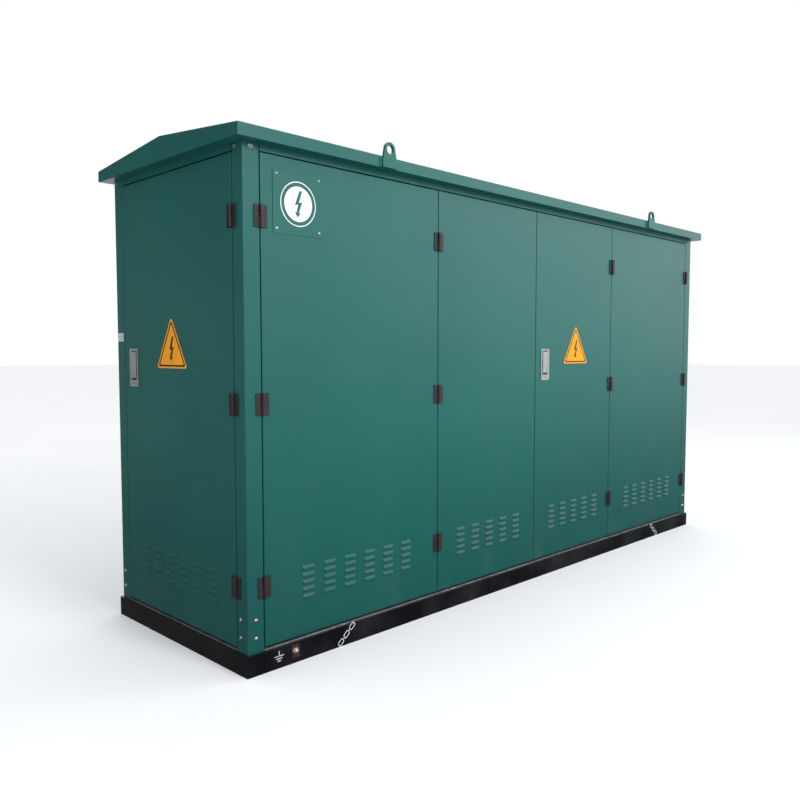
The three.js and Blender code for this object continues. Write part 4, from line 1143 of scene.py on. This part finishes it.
def signs():
    base = 1136 * MM
    hazard_sign("hazard_front", "front_door_3", facing(383 * MM, FRONT_Y, base))
    hazard_sign("hazard_end", "end_door", facing(-HALF_LENGTH, 20 * MM, base, -QUARTER))
    tag = bmesh.new()
    box_into(tag, (-28 * MM, -0.8 * MM, -19 * MM), (28 * MM, -0.1 * MM, 19 * MM), 0.3 * MM, 2)
    place = facing(-HALF_LENGTH, 468 * MM, 1267 * MM, -QUARTER)
    settle(tag, "rear_post_tag", PALE_TAG, "enclosure", place)


def stroke(bm, x0, z0, x1, z1, width, y_front, y_back):
    start, end = Vector((x0, z0)), Vector((x1, z1))
    along = (end - start).normalized() * (width / 2)
    side = Vector((-along.y, along.x))
    plate_into(bm, [tuple(start - along - side), tuple(end + along - side), tuple(end + along + side),
                    tuple(start - along + side)], y_front, y_back)


def base_marks():
    """Stencilled earth symbol and sling marks on the front of the base."""
    bm = bmesh.new()
    x, line = -1667 * MM, 3.4 * MM
    y0, y1 = BASE_FRONT_Y - 0.35 * MM, BASE_FRONT_Y + 0.1 * MM
    stroke(bm, x, 66 * MM, x, 48 * MM, line, y0, y1)
    for half, z in ((20, 48), (13, 38.5), (6, 29)):
        stroke(bm, x - half * MM, z * MM, x + half * MM, z * MM, line, y0, y1)
    links = ((-30, -27), (0, 0), (30, 27))
    for sx in (-1, 1):
        tilt = math.radians(43) * -sx
        for dx, dz in links:
            centre = (sx * 1327 * MM - sx * dx * MM, 44 * MM + dz * MM)
            ring_into(bm, *mm((17, 11), (13.6, 7.6)), y0, y1, 48, centre=centre, tilt=tilt, square=0.6)
        for dx, dz in ((-15, -13.5), (15, 13.5)):
            x0, z0 = sx * 1327 * MM - sx * dx * MM, 44 * MM + dz * MM
            stroke(bm, x0 + sx * 4 * MM, z0 - 4 * MM, x0 - sx * 4 * MM, z0 + 4 * MM, 2.4 * MM, y0, y1)
    fix_normals(bm)
    settle(bm, "base_marks", STENCIL, "enclosure")


def earth_terminal():
    low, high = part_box("earth_plate")
    centre = (low + high) / 2
    half_x, half_z = (high.x - low.x) / 2, (high.z - low.z) / 2
    bm = bmesh.new()
    plate_into(bm, rounded_box(half_x, half_z, 3 * MM, 4), low.y, high.y)
    rims = [e for e in bm.edges if all(abs(v.co.y - low.y) < TINY for v in e.verts)]
    bmesh.ops.bevel(bm, geom=rims, offset=0.6 * MM, segments=2, profile=0.5, affect="EDGES")
    fix_normals(bm)
    place = facing(centre.x, 0, centre.z)
    settle(bm, "earth_pad_plate", COPPER, "enclosure", place, ["earth_plate"])
    bolt = bmesh.new()
    at = (centre.x, low.y, centre.z)
    lathe_into(bolt, mm((14, 0.2), (14, 2.2), (13.4, 2.8), (0, 2.8)), at, TO_FRONT, 32)
    lathe_into(bolt, mm((11, 2.8), (11, 9.4), (9.6, 10.3), (0, 10.3)), at, TO_FRONT, 6)
    lathe_into(bolt, mm((6, 0), (6, 13), (5.2, 14), (0, 14)), at, TO_FRONT, 20)
    lathe_into(bolt, mm((6, -24), (6, 0)), at, TO_FRONT, 20)
    settle(bolt, "earth_bolt_head", ZINC, "enclosure", None, ["earth_bolt"])


# ------------------------------------------------------------------ inside

def frame_finishes():
    """Materials and rounded edges for the CAD nodes that stay in view."""
    paint_node("base_frame", BLACK, 1.6 * MM)
    paint_node("top_frame", GREEN, 1.0 * MM)
    for node in ("floor_plate", "partition_left", "partition_right"):
        paint_node(node, GALVANISED, 0.8 * MM)
    paint_node("transformer_tank", TANK, 1.5 * MM)
    paint_node("transformer_lid", TANK, 1.5 * MM)
    paint_node("core_and_windings", CORE, 1.5 * MM)
    paint_node("lv_bushing_block", EPOXY, 3 * MM)
    for i in range(1, 5):
        paint_node(f"lv_busbar_{i}", COPPER, 1.0 * MM)
    paint_node("hv_switch_cabinet", PANEL, 1.5 * MM)
    paint_node("lv_board", PANEL, 1.5 * MM)
    paint_node("main_breaker", BLACK_PLASTIC, 2.5 * MM)
    paint_node("main_breaker_lever", RED_PLASTIC, 2 * MM)
    paint_node("tap_changer_knob", RED_PLASTIC, 2 * MM)
    paint_node("hv_operating_handle", RED_PLASTIC, 1.5 * MM)
    for i in range(1, 4):
        paint_node(f"hv_link_cable_{i}", SHEATH)


def transformer_detail():
    """The bolts round the rim of the transformer's lid."""
    bm = bmesh.new()
    plate_top = LID_LOW.z + 8 * MM
    inset = 15 * MM
    per_long, per_short = 12, 6
    for k in range(per_long + 1):
        x = LID_LOW.x + inset + (LID_HIGH.x - LID_LOW.x - 2 * inset) * k / per_long
        for y in (LID_LOW.y + inset, LID_HIGH.y - inset):
            hex_bolt(bm, (x, y, plate_top), UP, 9 * MM, 8 * MM)
    for k in range(1, per_short):
        y = LID_LOW.y + inset + (LID_HIGH.y - LID_LOW.y - 2 * inset) * k / per_short
        for x in (LID_LOW.x + inset, LID_HIGH.x - inset):
            hex_bolt(bm, (x, y, plate_top), UP, 9 * MM, 8 * MM)
    settle(bm, "lid_bolts", ZINC, "enclosure")


def bushing_detail():
    """Sheds round the high-voltage bushings, ribs on their boots and bolts through the low-voltage palms."""
    lid_top = LID_LOW.z + 8 * MM
    for i in range(1, 4):
        low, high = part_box(f"hv_link_cable_{i}")
        y, x = (low.y + high.y) / 2, high.x - 30 * MM
        bm = bmesh.new()
        profile = [(29, 21), (40, 24), (40, 27)]
        for k in range(4):
            z = 40 + 18 * k
            profile += [(29.5, z - 6), (29.5, z), (45 - k, z + 5), (45 - k, z + 7.5), (29.5, z + 10)]
        profile += [(29.5, 118.5), (29, 118.8)]
        lathe_into(bm, [(r * MM, a * MM) for r, a in profile], (x, y, lid_top), UP, 40)
        settle(bm, f"bushing_sheds_{i}", EPOXY, "enclosure")
        bm = bmesh.new()
        for z in (low.z + 8 * MM, low.z + 40 * MM, low.z + 66 * MM):
            lathe_into(bm, mm((30, 0), (33.5, 1), (33.5, 6), (30, 7)), (x, y, z),
                       UP, 40)
        settle(bm, f"boot_ribs_{i}", SHEATH, "enclosure")
    bm = bmesh.new()
    for i in range(1, 5):
        low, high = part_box(f"lv_busbar_{i}")
        y = (low.y + high.y) / 2
        for z in (low.z + 22 * MM, low.z + 46 * MM):
            hex_bolt(bm, (low.x, y, z), (-1, 0, 0), 9 * MM, 8 * MM)
            hex_bolt(bm, (low.x + 24.3 * MM, y, z), (1, 0, 0), 9 * MM, 10 * MM)
    settle(bm, "palm_bolts", ZINC, "enclosure")


def window_trims():
    """Rubber edging round the windows in the partitions."""
    for side in ("left", "right"):
        low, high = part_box(f"partition_{side}")
        x = (low.x + high.x) / 2
        bm = bmesh.new()
        ring_into(bm, (258 * MM, 88 * MM), (243 * MM, 73 * MM), -6 * MM, 6 * MM, 72, square=0.16)
        fix_normals(bm)
        place = facing(x, 0, 1314.9 * MM, QUARTER)
        settle(bm, f"window_trim_{side}", RUBBER, "enclosure", place)


PANEL_PIECES = {
    "panel_black": (BLACK_PLASTIC, "black_plastic"),
    "meter_faces": (WHITE, "panel_grey"),
    "panel_marks": (RUBBER, "black_plastic"),
    "panel_covers": (COVER_GREY, "panel_grey"),
    "panel_screws": (ZINC, "bolt_zinc"),
    "panel_tags": (WHITE, "panel_grey"),
    "panel_lamps": (RED_PLASTIC, "red_plastic"),
}


def slab(bm, xs, zs, y, out, back, round_by):
    """Adds a rounded plate to a panel whose face is at y. out and back are its faces' distances from
    that face and round_by rounds its edges, all three in millimetres."""
    box_into(bm, (xs[0], y - out * MM, zs[0]), (xs[1], y - back * MM, zs[1]), round_by * MM)


def lamp(parts, at, bezel, lens):
    """A round lamp in a bezel. Both are turned profiles in millimetres."""
    lathe_into(parts["panel_black"], mm(*bezel), at, TO_FRONT, 28)
    lathe_into(parts["panel_lamps"], mm(*lens), at, TO_FRONT, 28)


def gauge(parts, x, z, y, size, sweep):
    """A square panel meter with a white face, a scale and a needle."""
    half = size / 2
    face = half * 0.82
    slab(parts["panel_black"], (x - half, x + half), (z - half, z + half), y, 9, 0, 2.5)
    slab(parts["meter_faces"], (x - face, x + face), (z - face, z + face), y, 9.6, 8, 1.2)
    pivot_x, pivot_z = x + half * 0.5, z - half * 0.5

    def ray(share, start, end, width, out):
        """A mark of the scale, or the needle, at a share of the sweep."""
        dx, dz = math.cos(QUARTER * (1 + share)), math.sin(QUARTER * (1 + share))
        stroke(parts["panel_marks"], pivot_x + start * dx, pivot_z + start * dz, pivot_x + end * dx,
               pivot_z + end * dz, width * MM, y - out * MM, y - 9.5 * MM)

    marks = 8
    for k in range(marks + 1):
        is_long = k % 4 == 0
        ray(k / marks, half * (0.92 if is_long else 1.0), half * 1.15, 1.4, 9.9)
    ray(sweep, 0, half, 1.8, 10.2)
    boss = half * 0.32, half * 0.78
    slab(parts["panel_black"], (x + boss[0], x + boss[1]), (z - boss[1], z - boss[0]), y, 11, 9, 1)


def board_front(parts):
    """The low-voltage board: three meters, four lamps and six outgoing ways with covers and handles."""
    low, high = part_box("lv_board")
    y = low.y
    for k, sweep in enumerate((0.2, 0.45, 0.6)):
        gauge(parts, low.x + (76 + 105 * k) * MM, high.z - 90 * MM, y, 92 * MM, sweep)
    for k in range(4):
        lamp(parts, (high.x - (60 + 62 * k) * MM, y, high.z - 84 * MM), ((15, 0), (15, 5), (12.5, 7), (0, 7)),
             ((11, 6), (11, 10), (8, 13.5), (0, 14.5)))
    cover_wide, cover_high, screw_inset = 112 * MM, 390 * MM, 14 * MM
    way = (("panel_tags", (22, 90), (306, 332), 5.2, 3.8, 0.5),
           ("panel_black", (36, 76), (110, 250), 11, 3.8, 3),
           ("panel_lamps", (46, 66), (160, 200), 14, 10, 1.5))
    for k in range(6):
        x0, z0 = low.x + (66 + 129 * k) * MM, low.z + 540 * MM
        slab(parts["panel_covers"], (x0, x0 + cover_wide), (z0, z0 + cover_high), y, 4, -0.2, 1.6)
        for z in (z0 + screw_inset, z0 + cover_high - screw_inset):
            for x in (x0 + screw_inset, x0 + cover_wide - screw_inset):
                dome_screw(parts["panel_screws"], (x, y - 4 * MM, z), TO_FRONT, 4.5 * MM)
        for piece, xs, zs, out, back, round_by in way:
            slab(parts[piece], [x0 + v * MM for v in xs], [z0 + v * MM for v in zs], y, out, back, round_by)
    for x in (low.x + 14 * MM, (low.x + high.x) / 2, high.x - 14 * MM):
        for z in (high.z - 16 * MM, low.z + 500 * MM):
            dome_screw(parts["panel_screws"], (x, y, z), TO_FRONT, 5.5 * MM)


def cabinet_front(parts):
    """The switch cabinet: a cover plate, a meter, three lamps and a plain line diagram."""
    low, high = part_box("hv_switch_cabinet")
    y, top = low.y, high.z
    shelf = 846 * MM
    for x in (low.x + 16 * MM, high.x - 16 * MM):
        for z in (shelf + 40 * MM, (shelf + top) / 2, top - 20 * MM):
            dome_screw(parts["panel_screws"], (x, y, z), TO_FRONT, 6 * MM)
    slab(parts["panel_black"], (low.x + 60 * MM, low.x + 250 * MM), (top - 210 * MM, top - 70 * MM),
         y, 7, 0, 3)
    slab(parts["panel_covers"], (low.x + 78 * MM, low.x + 232 * MM), (top - 192 * MM, top - 88 * MM),
         y, 8.5, 6, 1.2)
    gauge(parts, high.x - 120 * MM, top - 130 * MM, y, 110 * MM, 0.7)
    for k in range(3):
        lamp(parts, (high.x - (60 + 56 * k) * MM, y, top - 260 * MM), ((14, 0), (14, 4), (11, 6), (0, 6)),
             ((9, 5), (9, 9), (6, 12), (0, 12.5)))
    marks = parts["panel_marks"]
    x, bus, face = low.x + 155 * MM, top - 250 * MM, y - 0.8 * MM
    contact = shelf + 250 * MM
    for z0, z1 in ((shelf + 70 * MM, contact), (shelf + 330 * MM, bus)):
        stroke(marks, x, z0, x, z1, 7 * MM, face, y)
    stroke(marks, x, contact, x + 44 * MM, shelf + 322 * MM, 7 * MM, face, y)
    stroke(marks, x - 60 * MM, bus, x + 60 * MM, bus, 9 * MM, face, y)
    ring_into(marks, *mm((15, 15), (9, 9)), y - 0.9 * MM, y - 0.1 * MM, 40, (x, shelf + 252 * MM))
    handle = ((low.x + high.x) / 2, top - 420 * MM)
    ring_into(parts["panel_black"], *mm((52, 52), (30, 30)), y - 2.4 * MM, y, 56, handle)


def panel_fronts():
    """What is on the two switch panels, one piece for each material."""
    parts = {name: bmesh.new() for name in PANEL_PIECES}
    board_front(parts)
    cabinet_front(parts)
    for name, (material, slot) in PANEL_PIECES.items():
        fix_normals(parts[name])
        settle(parts[name], name, material, "enclosure")


frame_finishes()
doors_and_panels()
corner_posts()
roof()
lifting_lugs()
post_screws()
hinges()
locks()
emblem_plate()
signs()
base_marks()
earth_terminal()
transformer_detail()
bushing_detail()
window_trims()
panel_fronts()

# ------------------------------------------------------------------ floor, light and camera


def studio_floor():
    bm = bmesh.new()
    reach = 60.0
    bm.faces.new([bm.verts.new((x * reach, y * reach, 0)) for x, y in ((-1, -1), (1, -1), (1, 1), (-1, 1))])
    mesh = bpy.data.meshes.new("floor")
    bm.to_mesh(mesh)
    bm.free()
    floor = bpy.data.objects.new("floor", mesh)
    bpy.context.scene.collection.objects.link(floor)
    g = Graph("pale_floor")
    color = g.mix(g.remap(g.noise(0.8, 3), 0.3, 0.7), srgb(245, 245, 245), srgb(242, 242, 243))
    mesh.materials.append(g.finish(color, g.remap(g.noise(30.0, 3), 0.3, 0.7, 0.75, 0.85)))
    floor.visible_glossy = False


def soft_sky():
    """A pale sky, darker below the horizon and white behind the object."""
    world = bpy.data.worlds.new("soft_sky")
    bpy.context.scene.world = world
    world.use_nodes = True
    nodes, links = world.node_tree.nodes, world.node_tree.links
    coords = nodes.new("ShaderNodeTexCoord")
    split = nodes.new("ShaderNodeSeparateXYZ")
    links.new(coords.outputs["Generated"], split.inputs["Vector"])
    level = nodes.new("ShaderNodeMapRange")
    level.inputs["From Min"].default_value = -1.0
    links.new(split.outputs["Z"], level.inputs["Value"])
    ramp = nodes.new("ShaderNodeValToRGB")
    links.new(level.outputs["Result"], ramp.inputs["Fac"])
    stops = ramp.color_ramp.elements
    stops[0].position, stops[0].color = 0.42, (0.12, 0.13, 0.15, 1)
    stops[1].position, stops[1].color = 0.60, (0.98, 1.0, 1.04, 1)
    for position, shade in ((0.5, 0.58), (0.53, 0.8)):
        stops.new(position).color = (shade, shade * 1.02, shade * 1.05, 1)
    behind = nodes.new("ShaderNodeVectorMath")
    behind.operation = "DOT_PRODUCT"
    behind.inputs[1].default_value = (0.709, 0.705, 0.0)
    links.new(coords.outputs["Generated"], behind.inputs[0])
    backdrop = nodes.new("ShaderNodeMapRange")
    backdrop.inputs["From Min"].default_value = 0.62
    backdrop.inputs["From Max"].default_value = 0.80
    links.new(behind.outputs["Value"], backdrop.inputs["Value"])
    blend = nodes.new("ShaderNodeMix")
    blend.data_type = "RGBA"
    links.new(backdrop.outputs["Result"], blend.inputs["Factor"])
    links.new(ramp.outputs["Color"], blend.inputs[6])
    blend.inputs[7].default_value = (1.0, 1.0, 1.0, 1)
    links.new(blend.outputs[2], nodes["Background"].inputs["Color"])


def area_light(name, at, towards, size, power, color=(1, 1, 1), spread=180):
    light = bpy.data.lights.new(name, "AREA")
    light.shape = "DISK"
    light.size = size
    light.energy = power
    light.color = color
    light.spread = math.radians(spread)
    lamp = bpy.data.objects.new(name, light)
    lamp.location = at
    lamp.rotation_mode = "QUATERNION"
    lamp.rotation_quaternion = (Vector(towards) - Vector(at)).to_track_quat("-Z", "Y")
    bpy.context.scene.collection.objects.link(lamp)
    return lamp


def card(name, start, end, low, high, stops, side):
    """A panel beside the camera that only reflections see. stops are (height, light); side is its
    light at the start as a share of that at the end."""
    bm = bmesh.new()
    bm.faces.new([bm.verts.new((x, y, z)) for (x, y), z in
                  ((start, low), (end, low), (end, high), (start, high))])
    mesh = bpy.data.meshes.new(name)
    bm.to_mesh(mesh)
    bm.free()
    panel = bpy.data.objects.new(name, mesh)
    bpy.context.scene.collection.objects.link(panel)
    g = Graph(name)
    up = g.remap(g.height(), low, high)
    ramp = g.add("ShaderNodeValToRGB")
    g.link(up, ramp.inputs["Fac"])
    marks = ramp.color_ramp.elements
    for i, (level, light) in enumerate(stops):
        mark = marks[i] if i < 2 else marks.new(0.5)
        mark.position = (level - low) / (high - low)
        mark.color = (light / 2, light / 2 * 1.01, light / 2 * 1.02, 1)
    along = g.add("ShaderNodeVectorMath", operation="DOT_PRODUCT")
    run = Vector((end[0] - start[0], end[1] - start[1], 0))
    along.inputs[1].default_value = run / run.length_squared
    g.link(g.coords, along.inputs[0])
    origin = Vector((start[0], start[1], 0)).dot(run) / run.length_squared
    across = g.remap(along.outputs["Value"], origin, origin + 1, 2 * side, 2.0)
    haze = g.remap(g.noise(0.35, 2.0, 0.5), 0.3, 0.7, 0.75, 1.25)
    glow = g.add("ShaderNodeEmission")
    g.link(ramp.outputs["Color"], glow.inputs["Color"])
    g.link(g.math("MULTIPLY", across, haze), glow.inputs["Strength"])
    g.link(glow.outputs["Emission"], g.tree.nodes["Material Output"].inputs["Surface"])
    mesh.materials.append(g.material)
    panel.visible_camera = panel.visible_diffuse = panel.visible_shadow = False
    panel.visible_transmission = panel.visible_volume_scatter = False


def photo_camera():
    """The camera fitted to the photograph: its place in metres, its heading and its tilt."""
    camera = bpy.data.cameras.new("camera")
    camera.lens = 35.1
    camera.sensor_width = 36.0
    camera.clip_end = 200.0
    eye = bpy.data.objects.new("camera", camera)
    eye.location = (-3.399, -2.881, 1.210)
    azimuth, elevation = math.radians(45.15), math.radians(-3.66)
    level = math.cos(elevation)
    look = Vector((math.sin(azimuth) * level, math.cos(azimuth) * level, math.sin(elevation)))
    eye.rotation_mode = "QUATERNION"
    eye.rotation_quaternion = look.to_track_quat("-Z", "Y")
    bpy.context.scene.collection.objects.link(eye)
    bpy.context.scene.camera = eye
    bpy.context.scene.view_settings.view_transform = "Standard"


def studio():
    studio_floor()
    soft_sky()
    area_light("key", (-0.8, -8.5, 5.2), (0.2, -0.5, 1.6), 3.0, 165, (1.0, 1.0, 0.99), 100)
    area_light("sheen", (8.6, -5.2, 3.9), (1.0, -0.5, 1.4), 3.2, 60, (0.95, 0.98, 1.0), 120)
    card("dark_card", (-9, -1), (-1, 9), -4, 6, ((-4, 0.04), (3.2, 0.10), (-0.5, 0.14), (1.3, 0.26)), 1.0)
    card("bright_card", (-3, -7.6), (13, -1.5), -4, 6,
         ((-1.6, 0.04), (3.2, 2.0), (-0.4, 0.36), (1.2, 0.52), (2.2, 1.35)), 0.5)
    photo_camera()


studio()
